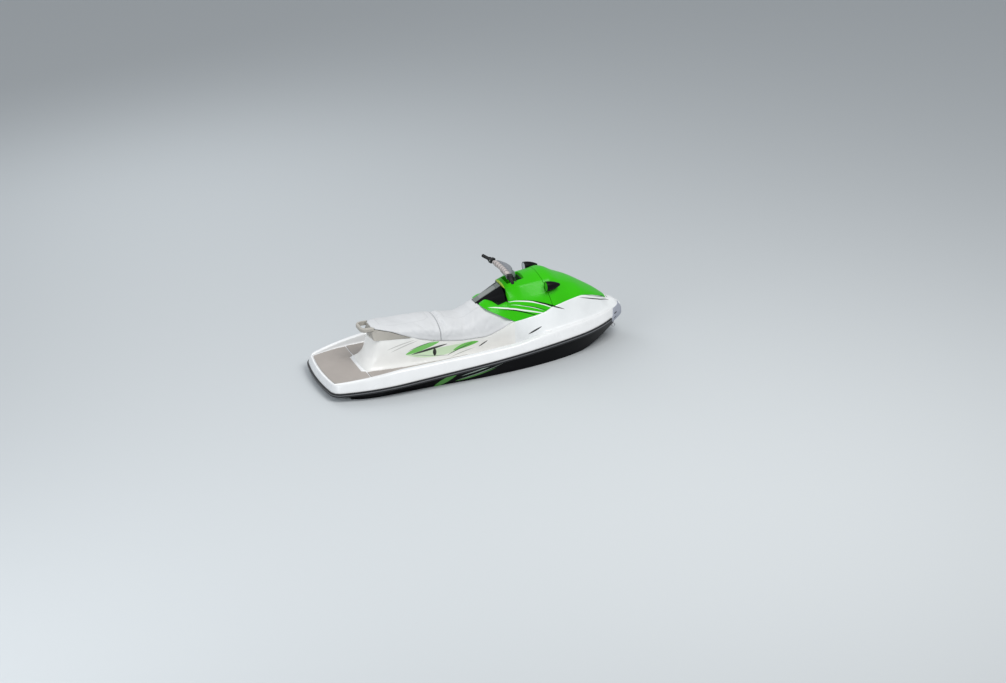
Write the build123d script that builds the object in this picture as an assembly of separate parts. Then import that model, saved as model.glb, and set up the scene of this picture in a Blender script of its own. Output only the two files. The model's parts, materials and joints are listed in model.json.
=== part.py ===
from build123d import *
import math
import os

# A three-seat personal watercraft with a jet drive.
# X runs forward to the bow, Y to port and Z up. Z = 0 is the still waterline,
# and the origin lies midway between the bow and the stern. All sizes are in millimetres.

# Overall sizes
bow_x = 1600.0
stern_x = -1650.0
beam_half = 572.0
draught = 270.0
seat_gap = 0.3
panel_gap = 5.0

# The sheer is one flat plane, rising to the bow, where the hull and the deck meet
sheer_mid_z = 162.0
sheer_angle = 3.55

# Plan outline of the deck edge: a chain of arcs, tangent to each other
side_aft_x = -900.0
fore_radius = 6000.0
fore_turn = 11.5
shoulder_radius = 1150.0
shoulder_turn = 45.0
aft_radius = 1900.0
stern_radius = 2400.0
stern_corner_radius = 130.0

# Hull
transom_x = -1440.0
hull_inset = 26.0
hull_top_lap = 40.0
strake_share = 0.5
strake_step_share = 0.03
chine_flat_share = 0.06
tunnel_front_x = -1130.0
tunnel_half_width = 150.0
tunnel_roof_z = -18.0
transom_recess_x = -1380.0
transom_recess_half_width = 170.0
intake_length = 440.0
intake_half_width = 76.0
intake_frame_half_width = 99.0
intake_pocket_depth = 38.0
intake_front_margin = 30.0
duct_crown_drop = 8.0
duct_ramp_length = 60.0

# Deck
flange_height = 30.0
band_height = 160.0
band_inset = 52.0
gunwale_width = 44.0
well_shift = 52.0
deck_floor_z = 150.0
floor_bend_x = -800.0
footwell_skin = 14.0
footwell_front_x = 400.0
footwell_ramp_x = 600.0
footwell_ramp_z = 312.0

# Jet pump, from the front of its tunnel aft
pump_axis_z = -135.0
pump_bore_radius = 78.0
pump_wall = 12.0
pump_length = 160.0
venturi_length = 95.0
venturi_neck_length = 65.0
venturi_exit_radius = 44.0
venturi_wall = 8.0
nozzle_lap = 10.0
nozzle_length = 130.0
nozzle_cup_radius = 70.0
nozzle_exit_radius = 46.0
nozzle_wall = 8.0
bucket_radius = 197.0
bucket_wall = 7.0
bucket_half_width = 114.0
hub_radius = 27.0
shaft_radius = 12.5
pump_aft_x = tunnel_front_x - pump_length
venturi_neck_x = pump_aft_x - venturi_length
venturi_aft_x = venturi_neck_x - venturi_neck_length
nozzle_pivot_x = venturi_aft_x + nozzle_lap
nozzle_front_x = nozzle_pivot_x + nozzle_lap
nozzle_aft_x = nozzle_front_x - nozzle_length
bucket_pivot_x = venturi_neck_x
intake_front_x = tunnel_front_x + intake_length

# Steering
steering_foot = (430.0, 0.0, 745.0)
steering_lean = 30.0
column_length = 150.0
column_radius = 26.0
column_clearance = 0.6
column_socket_depth = 30.0
bar_radius = 11.0
bar_half_width = 390.0
bar_back = 80.0
bar_rise = 30.0
bar_bend_radius = 40.0
grip_length = 120.0
grip_radius = 17.0
grip_flange = 7.0
pod_centre_y = 236.0
pod_size = (62.0, 50.0, 46.0)

# Hood and its hinge at the nose
hood_hinge_x = 1452.0
hood_hinge_z = 397.0
hood_barrel_radius = 9.0
hood_barrel_half = 18.0
hood_pin_radius = 4.0
hood_knuckle_gap = 8.0
hood_wall = 10.0
hood_gap = 4.0
hood_seam_low = (735.0, 520.0)
hood_seam_high = (660.0, 870.0)

# Fore cowl: x, half width and height of the edge, of the flank and of the shoulder, top height
cowl_rows = [
    (40.0, 236.0, 520.0, 160.0, 572.0, 88.0, 600.0, 606.0),
    (110.0, 252.0, 500.0, 178.0, 592.0, 96.0, 634.0, 640.0),
    (186.0, 264.0, 480.0, 206.0, 574.0, 150.0, 612.0, 624.0),
    (262.0, 276.0, 450.0, 224.0, 584.0, 180.0, 622.0, 640.0),
    (292.0, 282.0, 430.0, 212.0, 656.0, 112.0, 750.0, 764.0),
    (450.0, 313.0, 462.0, 268.0, 610.0, 172.0, 766.0, 798.0),
    (640.0, 332.0, 505.0, 288.0, 650.0, 176.0, 784.0, 830.0),
    (745.0, 333.0, 552.0, 292.0, 676.0, 182.0, 800.0, 838.0),
    (900.0, 302.0, 574.0, 262.0, 662.0, 172.0, 735.0, 766.0),
    (1040.0, 266.0, 584.0, 226.0, 642.0, 146.0, 680.0, 702.0),
    (1180.0, 215.0, 549.0, 182.0, 580.0, 118.0, 602.0, 619.0),
    (1320.0, 140.0, 487.0, 118.0, 503.0, 78.0, 517.0, 528.0),
    (1440.0, 52.0, 414.0, 44.0, 421.0, 30.0, 428.0, 432.0),
]

# Hull sections: x, keel height, chine half width, chine height
hull_rows = [
    (-1440.0, -264.0, 384.0, -118.0),
    (-900.0, -270.0, 448.0, -112.0),
    (-300.0, -270.0, 470.0, -104.0),
    (300.0, -262.0, 462.0, -84.0),
    (750.0, -232.0, 400.0, -42.0),
    (1120.0, -160.0, 290.0, 28.0),
    (1380.0, -40.0, 170.0, 112.0),
    (1545.0, 92.0, 62.0, 186.0),
]

# Fore deck, which slopes up to the cowl's edge. Its foot is on the footwell's floor and ramp, at x and
# half width, and further forward on the gunwale, at x and the distance from the outline
ramp_foot_rows = [(335.0, 300.0), (400.0, 345.0), (450.0, 375.0)]
slope_foot_rows = [
    (640.0, 102.0),
    (745.0, 100.0),
    (900.0, 96.0),
    (1040.0, 90.0),
    (1180.0, 82.0),
    (1320.0, 70.0),
    (1440.0, 56.0),
    (1555.0, 28.0),
]
slope_foot_drop = 3.0
nose_edge = (30.0, 352.0)
cowl_seat_lap = 6.0

# Seat: x, half width and height of the lower edge, of the side and of the shoulder, top height
seat_rows = [
    (-1098.0, 64.0, 534.0, 76.0, 548.0, 52.0, 560.0, 566.0),
    (-1055.0, 118.0, 532.0, 130.0, 546.0, 90.0, 560.0, 570.0),
    (-940.0, 178.0, 512.0, 186.0, 532.0, 122.0, 552.0, 568.0),
    (-800.0, 212.0, 454.0, 212.0, 504.0, 140.0, 543.0, 562.0),
    (-640.0, 236.0, 398.0, 228.0, 482.0, 146.0, 538.0, 558.0),
    (-430.0, 256.0, 350.0, 238.0, 462.0, 142.0, 528.0, 552.0),
    (-180.0, 278.0, 322.0, 238.0, 432.0, 124.0, 496.0, 518.0),
    (10.0, 284.0, 320.0, 206.0, 500.0, 98.0, 586.0, 604.0),
    (175.0, 288.0, 366.0, 210.0, 540.0, 114.0, 642.0, 666.0),
    (340.0, 292.0, 438.0, 214.0, 580.0, 130.0, 700.0, 730.0),
]
seat_split_x = -430.0
seat_split_gap = 3.0
seat_clearance = 2.0
seat_slope_aft = (26.0, 597.0)
seat_slope_fore = (335.0, 437.0)

# Pedestal under the seat: x, half widths of its foot, of the ankle above it, of its waist and of its top
pedestal_rows = [
    (-1240.0, 178.0, 136.0, 106.0, 84.0),
    (-1185.0, 218.0, 176.0, 144.0, 118.0),
    (-1000.0, 236.0, 210.0, 188.0, 168.0),
    (-730.0, 264.0, 245.0, 230.0, 218.0),
    (-640.0, 270.0, 254.0, 241.0, 230.0),
    (-430.0, 280.0, 269.0, 258.0, 250.0),
    (-180.0, 288.0, 281.0, 274.0, 270.0),
    (10.0, 292.0, 287.0, 280.0, 276.0),
    (175.0, 296.0, 292.0, 286.0, 281.0),
    (335.0, 300.0, 297.0, 292.0, 286.0),
]
pedestal_ankle_share = 0.14
pedestal_waist_share = 0.45
pedestal_back = [(-1240.0, 110.0), (-1156.0, 272.0), (-1104.0, 460.0)]

# Grab handle moulding between the pedestal and the seat's tail, with its loop aft of the seat
handle_base_z = 434.0
handle_stations = [-1092.0, -1055.0, -940.0, -800.0, -745.0]
handle_top_lap = 4.0
handle_foot_lap = 6.0
handle_loop_z = 514.0
handle_loop_thickness = 42.0
handle_loop_round = 12.0
handle_reach = 108.0
handle_half_width = 108.0
handle_bar_width = 26.0
handle_corner_radius = 62.0
handle_root_x = -1030.0

# Gunwale top line in side view: x, height
gunwale_line = [
    (-1690.0, 148.0),
    (-1350.0, 196.0),
    (-950.0, 248.0),
    (-400.0, 266.0),
    (300.0, 290.0),
    (950.0, 348.0),
    (1660.0, 338.0),
]

# Engine block
engine_size = (560.0, 340.0, 330.0)
engine_centre = (0.0, 0.0, -25.0)
engine_room = 6.0

# Console ridge from the seat to the handlebar: x, half width and height of its base, haunch and spine
console_rows = [
    (10.0, 72.0, 552.0, 64.0, 586.0, 42.0, 612.0),
    (120.0, 100.0, 586.0, 90.0, 640.0, 44.0, 664.0),
    (284.0, 178.0, 600.0, 150.0, 694.0, 48.0, 742.0),
]

# Glove box in the ridge, under a lid on its spine
lid_start = 62.0
lid_length = 190.0
lid_half_width = 38.0
lid_thickness = 10.0
lid_proud = 3.0
glovebox_aft_x = 90.0
glovebox_fore_x = 222.0
glovebox_half_width = 30.0
glovebox_floor_z = 618.0

# Cockpit recess ahead of the cowl's arch, and the display on its fore wall
cockpit_floor = ((336.0, 716.0), (494.0, 727.0))
cockpit_half_width = 90.0
cockpit_wall_lean = 56.0
cockpit_top_z = 900.0
display_half_width = 66.0
display_thickness = 16.0
display_margin = 6.0
display_height = 52.0

# Storage bin under the hood
bin_aft_x = 850.0
bin_fore_x = 1230.0
bin_aft_half_width = 190.0
bin_fore_half_width = 96.0
bin_floor_z = 250.0
bin_top_z = 480.0
bin_taper = 3.0
bin_wall = 4.0
bin_room = 1.0

# Mirrors: rows of x shift, half width and half height
mirror_x = 672.0
mirror_y = 288.0
mirror_z = 755.0
mirror_rows = [(0.0, 46.0, 52.0), (58.0, 43.0, 46.0), (150.0, 10.0, 10.0)]
mirror_glass_margin = 6.0
mirror_glass_depth = 8.0
mirror_foot_x = 775.0
mirror_foot_y = 205.0
mirror_foot_drop = 20.0
mirror_foot_radius = 15.0
mirror_foot_shift = 75.0

# Handlebar pad, an arrow in plan: x and half width of the back, of the ends and of the nose, from its middle
pad_lift = 38.0
pad_dip = 6.0
pad_plan = [(-58.0, 170.0), (-34.0, 198.0), (22.0, 192.0), (84.0, 62.0), (92.0, 0.0)]
pad_height = 62.0
pad_round = 20.0

# Shroud round the steering column under the pad: height, aft and fore reach from the column, half width
shroud_rows = [
    (798.0, 34.0, 58.0, 44.0),
    (830.0, 40.0, 76.0, 54.0),
    (864.0, 46.0, 80.0, 66.0),
]

# Throttle lever ahead of the starboard grip, and the plugs of the hull's drains on the transom
lever_length = 86.0
lever_reach = 42.0
lever_thickness = 8.0
lever_root = 12.0
lever_half_height = 7.0
plug_centre = (300.0, -75.0)
plug_radius = 17.0
plug_thickness = 6.0
plug_rib = 5.0

# Jet pump details
pump_flange_thickness = 12.0
pump_flange_half = 98.0
pump_flange_drop = 86.0
vane_count = 6
vane_thickness = 5.0
hub_tail_share = 0.35
stub_radius = 8.0
stub_length = 20.0
nozzle_boss_radius = 12.0
nozzle_pin_radius = 5.0
nozzle_lever = (60.0, 30.0, 14.0, 16.0)
bucket_boss_radius = 10.0
bucket_eye_radius = 16.0
bucket_pin_radius = 6.0
bucket_first_angle = 100.0
bucket_last_angle = 165.0
impeller_back_gap = 6.0
impeller_length = 84.0
impeller_clearance = 1.5
blade_count = 3
blade_thickness = 5.0
blade_twist = 75.0
shaft_length = 300.0
plate_drop = -258.0
plate_edge_z = -222.0
plate_thickness = 8.0
plate_length = 330.0
grate_thickness = 11.0
grate_bar = 8.0
grate_slots = 5
grate_aft_rim = 24.0
grate_fore_rim = 40.0
grate_end_gap = 2.0

# Trim
rail_width = 13.0
rail_drop = 14.0
rail_rise = 26.0
bumper_thickness = 9.0
bumper_height = 76.0
bumper_lap = 4.0
bumper_turn = 60.0
mat_thickness = 5.0
mat_margin = 10.0
mat_split_x = -1205.0
mat_split_gap = 12.0
mat_fore_x = 320.0
eye_outer_radius = 22.0
eye_bore_radius = 11.0
eye_width = 10.0
bow_eye_centre = (1545.0, 0.0, 70.0)
stern_eye_centre = (-1455.0, 250.0, 10.0)

# Sponsons, let into the hull's sides: profile from the aft end, x and height
sponson_root_y = 430.0
sponson_side_margin = 12.0
sponson_profile = [
    (-1180.0, -70.0),
    (-1150.0, -40.0),
    (-640.0, -30.0),
    (-560.0, -62.0),
    (-640.0, -84.0),
    (-1150.0, -92.0),
]

os.makedirs("parts", exist_ok=True)
tan_sheer = math.tan(math.radians(sheer_angle))
cos_sheer = math.cos(math.radians(sheer_angle))
sin_sheer = math.sin(math.radians(sheer_angle))


def sheer_z(x):
    """Height of the sheer plane at x."""
    return sheer_mid_z + x * tan_sheer


def sheer_plane(lift):
    """The sheer plane, moved along its own normal."""
    normal = Vector(-sin_sheer, 0, cos_sheer)
    return Plane(
        origin=Vector(0, 0, sheer_mid_z) + normal * lift,
        x_dir=(cos_sheer, 0, sin_sheer),
        z_dir=normal,
    )


def polar(centre, radius, angle):
    turn = math.radians(angle)
    return (centre[0] + radius * math.cos(turn), centre[1] + radius * math.sin(turn))


def outline_arcs():
    """Arcs of the port half of the outline from bow to stern: centre, radius, first and last angle."""
    side = 90.0
    shoulder_angle = side - fore_turn
    nose_angle = side - shoulder_turn
    fore = (0.0, beam_half - fore_radius)
    join = polar(fore, fore_radius, shoulder_angle)
    shoulder = polar(join, -shoulder_radius, shoulder_angle)
    tip = polar(shoulder, shoulder_radius, nose_angle)
    nose_radius = tip[1] / math.sin(math.radians(nose_angle))
    nose = polar(tip, -nose_radius, nose_angle)
    shift = bow_x - (nose[0] + nose_radius)
    aft = (side_aft_x, beam_half - aft_radius)
    stern = (stern_x + stern_radius, 0.0)
    reach_aft = aft_radius - stern_corner_radius
    reach_stern = stern_radius - stern_corner_radius
    gap = math.dist(aft, stern)
    along = (reach_aft**2 - reach_stern**2 + gap**2) / (2 * gap)
    across = math.sqrt(reach_aft**2 - along**2)
    unit = ((stern[0] - aft[0]) / gap, (stern[1] - aft[1]) / gap)
    corner = (
        aft[0] + unit[0] * along - unit[1] * across,
        aft[1] + unit[1] * along + unit[0] * across,
    )
    aft_end = math.degrees(math.atan2(corner[1] - aft[1], corner[0] - aft[0]))
    stern_start = math.degrees(math.atan2(corner[1] - stern[1], corner[0] - stern[0]))
    return [
        ((nose[0] + shift, nose[1]), nose_radius, 0.0, nose_angle),
        ((shoulder[0] + shift, shoulder[1]), shoulder_radius, nose_angle, shoulder_angle),
        ((fore[0] + shift, fore[1]), fore_radius, shoulder_angle, side),
        (aft, aft_radius, side, aft_end),
        (corner, stern_corner_radius, aft_end, stern_start),
        (stern, stern_radius, stern_start, 180.0),
    ]


def outline(grow=0.0):
    """Face of the whole plan outline, grown outward by grow."""
    edges = []
    last = None
    for centre, radius, first, final in outline_arcs():
        size = radius + grow
        start = polar(centre, size, first)
        end = polar(centre, size, final)
        if last is not None and math.dist(last, start) > 1.0:
            edges.append(Line(last, start))
        edges.append(ThreePointArc(start, polar(centre, size, (first + final) / 2), end))
        last = end
    port = Wire(edges)
    starboard = port.mirror(Plane.XZ)
    return make_face(Wire(list(port.edges()) + list(starboard.edges())))


def half_beam(x, grow=0.0):
    """Half width of the outline, grown outward by grow, at x."""
    arcs = outline_arcs()
    for centre, radius, first, final in arcs:
        size = radius + grow
        high = polar(centre, size, first)[0]
        low = polar(centre, size, final)[0]
        if low <= x <= high:
            return centre[1] + math.sqrt(size**2 - (x - centre[0]) ** 2)
    return beam_half + grow


def half_section(x, half):
    """Closed face across the craft at x, from half points (y, z) that run from the bottom centre to the top centre."""
    port = [(x, y, z) for y, z in half]
    starboard = [(x, -y, z) for y, z in reversed(half) if y > 0]
    return make_face(Polyline(*port, *starboard, close=True))


def side_face(points):
    """Closed face in the XZ plane at y = 0."""
    return make_face(Polyline(*[(x, 0, z) for x, z in points], close=True))


def side_slab(points, half_width):
    """Solid of a side outline, as wide on both sides."""
    return extrude(side_face(points), amount=half_width, both=True, dir=(0, 1, 0))


def rod(start, end, radius):
    """Round bar between two points."""
    axis = Vector(*end) - Vector(*start)
    return extrude(Plane(origin=start, z_dir=axis) * Circle(radius), amount=axis.length)


def box_at(low, high):
    size = [high[i] - low[i] for i in range(3)]
    centre = [(high[i] + low[i]) / 2 for i in range(3)]
    return Pos(*centre) * Box(*size)


def row_value(rows, x, column):
    """Value of a table's column at x, in a straight line between its rows."""
    for low, high in zip(rows, rows[1:]):
        if low[0] <= x <= high[0]:
            share = (x - low[0]) / (high[0] - low[0])
            return low[column] + share * (high[column] - low[column])
    return rows[0][column] if x < rows[0][0] else rows[-1][column]


def hull_section(x, keel_z, chine_y, chine_z):
    rise = (chine_z - keel_z) / chine_y
    strake_y = chine_y * strake_share
    step_y = strake_y + chine_y * strake_step_share
    flat_y = chine_y * (1 - chine_flat_share)
    top_z = sheer_z(x) + hull_top_lap
    half = [
        (0.0, keel_z),
        (strake_y, keel_z + rise * strake_y),
        (step_y, keel_z + rise * strake_y),
        (step_y, keel_z + rise * step_y),
        (flat_y, keel_z + rise * flat_y),
        (chine_y, keel_z + rise * flat_y),
        (half_beam(x, -hull_inset), top_z),
        (0.0, top_z),
    ]
    return half_section(x, half)


def make_intake():
    """The water duct from the pocket in the bottom up to the pump."""
    bottom = -draught + intake_pocket_depth
    front = tunnel_front_x
    pocket = box_at(
        (front - 1, -intake_frame_half_width - 1, -2 * draught),
        (intake_front_x, intake_frame_half_width + 1, bottom),
    )
    crown = pump_axis_z + pump_bore_radius
    duct = side_slab(
        [
            (front - 1, crown),
            (front + duct_ramp_length, crown - duct_crown_drop),
            (intake_front_x - intake_front_margin, bottom - 10),
            (front + duct_ramp_length, bottom - 10),
            (front - 1, pump_axis_z - pump_bore_radius),
        ],
        intake_half_width,
    )
    shaft_hole = rod((front, 0, pump_axis_z), (front + shaft_length + 10, 0, pump_axis_z), shaft_radius + 1.0)
    return pocket + duct + shaft_hole


def make_hull():
    body = loft([hull_section(*row) for row in hull_rows])
    body = body & extrude(sheer_plane(-0.5) * outline(-hull_inset), amount=-3 * draught)
    aft = transom_x - 20
    low = -2 * draught
    tunnel = box_at((aft, -tunnel_half_width, low), (tunnel_front_x, tunnel_half_width, tunnel_roof_z))
    recess = box_at(
        (aft, -transom_recess_half_width, low),
        (transom_recess_x, transom_recess_half_width, 2 * draught),
    )
    bay_low = [engine_centre[i] - engine_size[i] / 2 - engine_room for i in range(2)]
    bay_low = bay_low + [engine_centre[2] - engine_size[2] / 2 - seat_gap]
    bay_high = [engine_centre[i] + engine_size[i] / 2 + engine_room for i in range(2)] + [2 * draught]
    return body - tunnel - recess - make_intake() - box_at(bay_low, bay_high)


def gunwale_edges():
    """Top line of the gunwale as arcs in the XZ plane, each through three points of the line."""
    points = [(x, 0, z) for x, z in gunwale_line]
    return [ThreePointArc(*points[start:start + 3]) for start in range(0, len(points) - 1, 2)]


def floor_line(lift):
    """Line of the deck floor in side view from the stern to the front of the footwells."""
    return [
        (stern_x - 60, deck_floor_z + lift),
        (floor_bend_x, deck_floor_z + lift),
        (footwell_front_x, sheer_z(footwell_front_x) + footwell_skin + lift),
    ]


def floor_z(x):
    return row_value(floor_line(0.0), x, 1)


def ramp_z(x):
    """Height of the footwell's floor and of the ramp that ends it."""
    return row_value(floor_line(0.0) + [(footwell_ramp_x, footwell_ramp_z)], x, 1)


def well_outline(shrink):
    """Plan of the deck's well, which reaches closer to the edge at the stern than along the sides."""
    return Pos(-well_shift, 0, 0) * outline(-band_inset - gunwale_width - shrink)


def make_deck():
    """The lower deck moulding: its flange, the band above it, the gunwales and the floor."""
    flange = extrude(sheer_plane(0) * outline(), amount=flange_height)
    band = loft([sheer_plane(flange_height) * outline(), sheer_plane(band_height) * outline(-band_inset)], ruled=True)
    first_x, first_z = gunwale_line[0]
    last_x, last_z = gunwale_line[-1]
    below = [
        Line((last_x, 0, last_z), (last_x, 0, -draught)),
        Line((last_x, 0, -draught), (first_x, 0, -draught)),
        Line((first_x, 0, -draught), (first_x, 0, first_z)),
    ]
    keep = extrude(make_face(Wire(gunwale_edges() + below)), amount=2 * beam_half, both=True, dir=(0, 1, 0))
    high = bow_x
    above = [(footwell_ramp_x, footwell_ramp_z), (footwell_ramp_x, high), (stern_x - 60, high)]
    well = extrude(well_outline(0.0), amount=high) & side_slab(floor_line(0.0) + above, 2 * beam_half)
    return ((flange + band) & keep) - well


def underside(x):
    """Height on which the seat, or the moulding under its tail, rests."""
    return min(row_value(seat_rows, x, 2), handle_base_z)


def pedestal_section(x, foot_y, ankle_y, waist_y, top_y):
    top_z = underside(x) - seat_gap
    foot_z = (sheer_z(x) + floor_z(x)) / 2
    rise = top_z - floor_z(x)
    half = [
        (0, foot_z),
        (foot_y, foot_z),
        (foot_y, floor_z(x)),
        (ankle_y, floor_z(x) + rise * pedestal_ankle_share),
        (waist_y, floor_z(x) + rise * pedestal_waist_share),
        (top_y, top_z),
        (0, top_z),
    ]
    return half_section(x, half)


def make_pedestal(deck):
    body = loft([pedestal_section(*row) for row in pedestal_rows], ruled=True)
    low, middle, high = [(x, 0, z) for x, z in pedestal_back]
    far_x = stern_x
    behind = Wire(
        [
            ThreePointArc(low, middle, high),
            Line(high, (far_x, 0, high[2])),
            Line((far_x, 0, high[2]), (far_x, 0, low[2])),
            Line((far_x, 0, low[2]), low),
        ]
    )
    return body - extrude(make_face(behind), amount=beam_half, both=True, dir=(0, 1, 0)) - deck


def gunwale_z(x):
    """Height of the gunwale's top line at x."""
    line = Line((x, 0, -draught), (x, 0, 4 * draught))
    for edge in gunwale_edges():
        points = edge.intersect(line)
        if points:
            return (points[0] if hasattr(points, "__len__") else points).Z
    return gunwale_line[-1][1]


def cowl_edge(x):
    return (row_value(cowl_rows, x, 1) + cowl_seat_lap, row_value(cowl_rows, x, 2) - seat_gap)


def slope_section(x, foot, edge):
    foot_y, foot_z = foot
    edge_y, edge_z = edge
    base_z = max((sheer_z(x) + floor_z(x)) / 2, foot_z - 60.0)
    half = [(0, base_z), (foot_y, base_z), (foot_y, foot_z), (edge_y, edge_z), (0, edge_z)]
    return half_section(x, half)


def make_fore_deck(deck):
    """The white moulding ahead of the seat, sloping from the gunwale up to the cowl, with the bin's pocket."""
    sections = []
    for x, foot_y in ramp_foot_rows:
        sections.append(slope_section(x, (foot_y, ramp_z(x)), cowl_edge(x)))
    for x, inset in slope_foot_rows:
        foot = (half_beam(x, -inset), gunwale_z(x) - slope_foot_drop)
        edge = cowl_edge(x) if x <= cowl_rows[-1][0] else nose_edge
        sections.append(slope_section(x, foot, edge))
    reach = hood_barrel_half + hood_knuckle_gap
    knuckle_room = hinge_pin(hood_hinge_x, hood_hinge_z, hood_barrel_radius + hood_knuckle_gap, reach)
    body = loft(sections, ruled=True) - deck - knuckle_room - bin_pocket()
    body = body + hinge_pin(hood_hinge_x, hood_hinge_z, hood_pin_radius, reach + hood_gap)
    return body.solids().sort_by(SortBy.VOLUME)[-1]


def hinge_pin(x, z, radius, half_length):
    return rod((x, -half_length, z), (x, half_length, z), radius)


def crowned_section(x, half, top_z):
    """Closed face across the craft at x: half points up to the shoulder, and an arc over the top."""
    sides = [(x, y, z) for y, z in reversed(half)] + [(x, -y, z) for y, z in half]
    line = Polyline(*sides)
    arc = ThreePointArc(sides[-1], (x, 0, top_z), sides[0])
    return make_face(Wire(list(line.edges()) + [arc]))


def make_cowl_solid(inset, drop):
    """The whole fore cowl, made smaller all round by inset, with its lower edge lowered by drop."""
    sections = []
    for x, edge_y, edge_z, flank_y, flank_z, shoulder_y, shoulder_z, top_z in cowl_rows:
        half = [
            (edge_y - inset, edge_z - drop),
            (flank_y - inset, flank_z - inset / 2),
            (shoulder_y - inset, shoulder_z - inset),
        ]
        sections.append(crowned_section(x, half, top_z - inset))
    return loft(sections, ruled=True)


def seam_side(gap, forward):
    """Half space ahead of or behind the hood seam, gap away from it."""
    low, high = hood_seam_low, hood_seam_high
    slope = (high[0] - low[0]) / (high[1] - low[1])
    shift = gap if forward else -gap
    reach = bow_x if forward else -bow_x
    top = (high[0] + slope * 200 + shift, high[1] + 200)
    bottom = (low[0] - slope * 200 + shift, low[1] - 200)
    return side_slab([bottom, top, (top[0] + reach, top[1]), (bottom[0] + reach, bottom[1])], beam_half)


def above_seat_slope(gap):
    """Region ahead of and above the slanted joint between the seat and the cowl, gap away from it."""
    aft, fore = seat_slope_aft, seat_slope_fore
    slope = (fore[1] - aft[1]) / (fore[0] - aft[0])
    start = (aft[0] - 300, aft[1] - slope * 300 + gap)
    end = (fore[0] + 60, fore[1] + slope * 60 + gap)
    high = bow_x
    return side_slab([start, end, (end[0] + bow_x, end[1]), (end[0] + bow_x, high), (start[0], high)], beam_half)


def console_solid(grow):
    """The ridge between the seat and the handlebar, grown by grow for its seat in the cowl."""
    sections = []
    for x, base_y, base_z, haunch_y, haunch_z, spine_y, spine_z in console_rows:
        half = [
            (0, base_z - grow),
            (base_y + grow, base_z - grow),
            (haunch_y + grow, haunch_z + grow),
            (spine_y + grow, spine_z + grow),
            (0, spine_z + grow),
        ]
        sections.append(half_section(x, half))
    body = loft(sections, ruled=True)
    if grow:
        last = sections[-1]
        body = body + extrude(last, amount=grow, dir=(1, 0, 0))
    return body


def make_cockpit_cut():
    floor_aft, floor_fore = cockpit_floor
    rise = cockpit_top_z - floor_fore[1]
    points = [
        floor_aft,
        floor_fore,
        (floor_fore[0] + cockpit_wall_lean, floor_fore[1] + rise),
        (floor_aft[0], cockpit_top_z),
    ]
    return side_slab(points, cockpit_half_width)


def make_display():
    """Instrument display on the fore wall of the cockpit recess."""
    low = cockpit_floor[1]
    rise = cockpit_top_z - low[1]
    length = math.hypot(cockpit_wall_lean, rise)
    unit = (cockpit_wall_lean / length, rise / length)
    normal = (-unit[1], unit[0])
    start, end = display_margin, display_margin + display_height
    corners = []
    for along, out in ((start, seat_gap), (end, seat_gap), (end, display_thickness), (start, display_thickness)):
        corners.append((low[0] + unit[0] * along + normal[0] * out, low[1] + unit[1] * along + normal[1] * out))
    return side_slab(corners, display_half_width)


def make_cowl_base():
    body = make_cowl_solid(0.0, 0.0) & above_seat_slope(seat_clearance) & seam_side(hood_gap / 2, False)
    body = body - console_solid(seat_gap) - make_cockpit_cut()
    well = rod(steering_foot, along_steering(-column_socket_depth), column_radius + column_clearance)
    return body - well


def along_steering(distance):
    """Point on the steering axis, this far above its foot."""
    lean = math.radians(steering_lean)
    return (
        steering_foot[0] - math.sin(lean) * distance,
        steering_foot[1],
        steering_foot[2] + math.cos(lean) * distance,
    )


def spine_point(along, out):
    """Point in side view along the console's spine, and this far off its surface."""
    low = (console_rows[0][0], console_rows[0][6])
    high = (console_rows[-1][0], console_rows[-1][6])
    length = math.dist(low, high)
    unit = ((high[0] - low[0]) / length, (high[1] - low[1]) / length)
    return (low[0] + unit[0] * along - unit[1] * out, low[1] + unit[1] * along + unit[0] * out)


def lid_solid(grow):
    """Glove box lid, a plate let into the console's spine, with a round end that it hinges on."""
    depth = lid_thickness - lid_proud
    rise = 2 * lid_thickness if grow else lid_proud
    sink = seat_gap if grow else 0.0
    start, end = lid_start, lid_start + lid_length + grow
    corners = [
        spine_point(start, -depth - sink),
        spine_point(end, -depth - sink),
        spine_point(end, rise),
        spine_point(start, rise),
    ]
    half_width = lid_half_width + min(grow, seat_gap * 5)
    axis = spine_point(start, lid_proud - lid_thickness / 2)
    body = side_slab(corners, half_width)
    return body + hinge_pin(axis[0], axis[1], lid_thickness / 2 + grow, half_width)


def make_console():
    body = console_solid(0.0)
    box = box_at(
        (glovebox_aft_x, -glovebox_half_width, glovebox_floor_z),
        (glovebox_fore_x, glovebox_half_width, bow_x),
    )
    return body - box - lid_solid(panel_gap / 2)


def make_hood():
    """The hinged hood, a shell open below, with its barrel at the nose."""
    shell = make_cowl_solid(0.0, 0.0) - make_cowl_solid(hood_wall, 6 * hood_wall)
    shell = shell & seam_side(hood_gap / 2, True)
    nose_x, nose_z = cowl_rows[-1][0], cowl_rows[-1][7]
    lug = side_slab(
        [
            (nose_x - hood_wall, nose_z + hood_wall / 4),
            (nose_x, nose_z - hood_wall / 4),
            (hood_hinge_x + hood_barrel_radius, hood_hinge_z + hood_barrel_radius / 2),
            (hood_hinge_x, hood_hinge_z),
            (nose_x, nose_z - hood_wall),
        ],
        hood_barrel_half,
    )
    barrel = hinge_pin(hood_hinge_x, hood_hinge_z, hood_barrel_radius, hood_barrel_half)
    bore = hinge_pin(hood_hinge_x, hood_hinge_z, hood_pin_radius + seat_gap, 2 * hood_barrel_half)
    return shell + lug + barrel - bore


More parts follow.
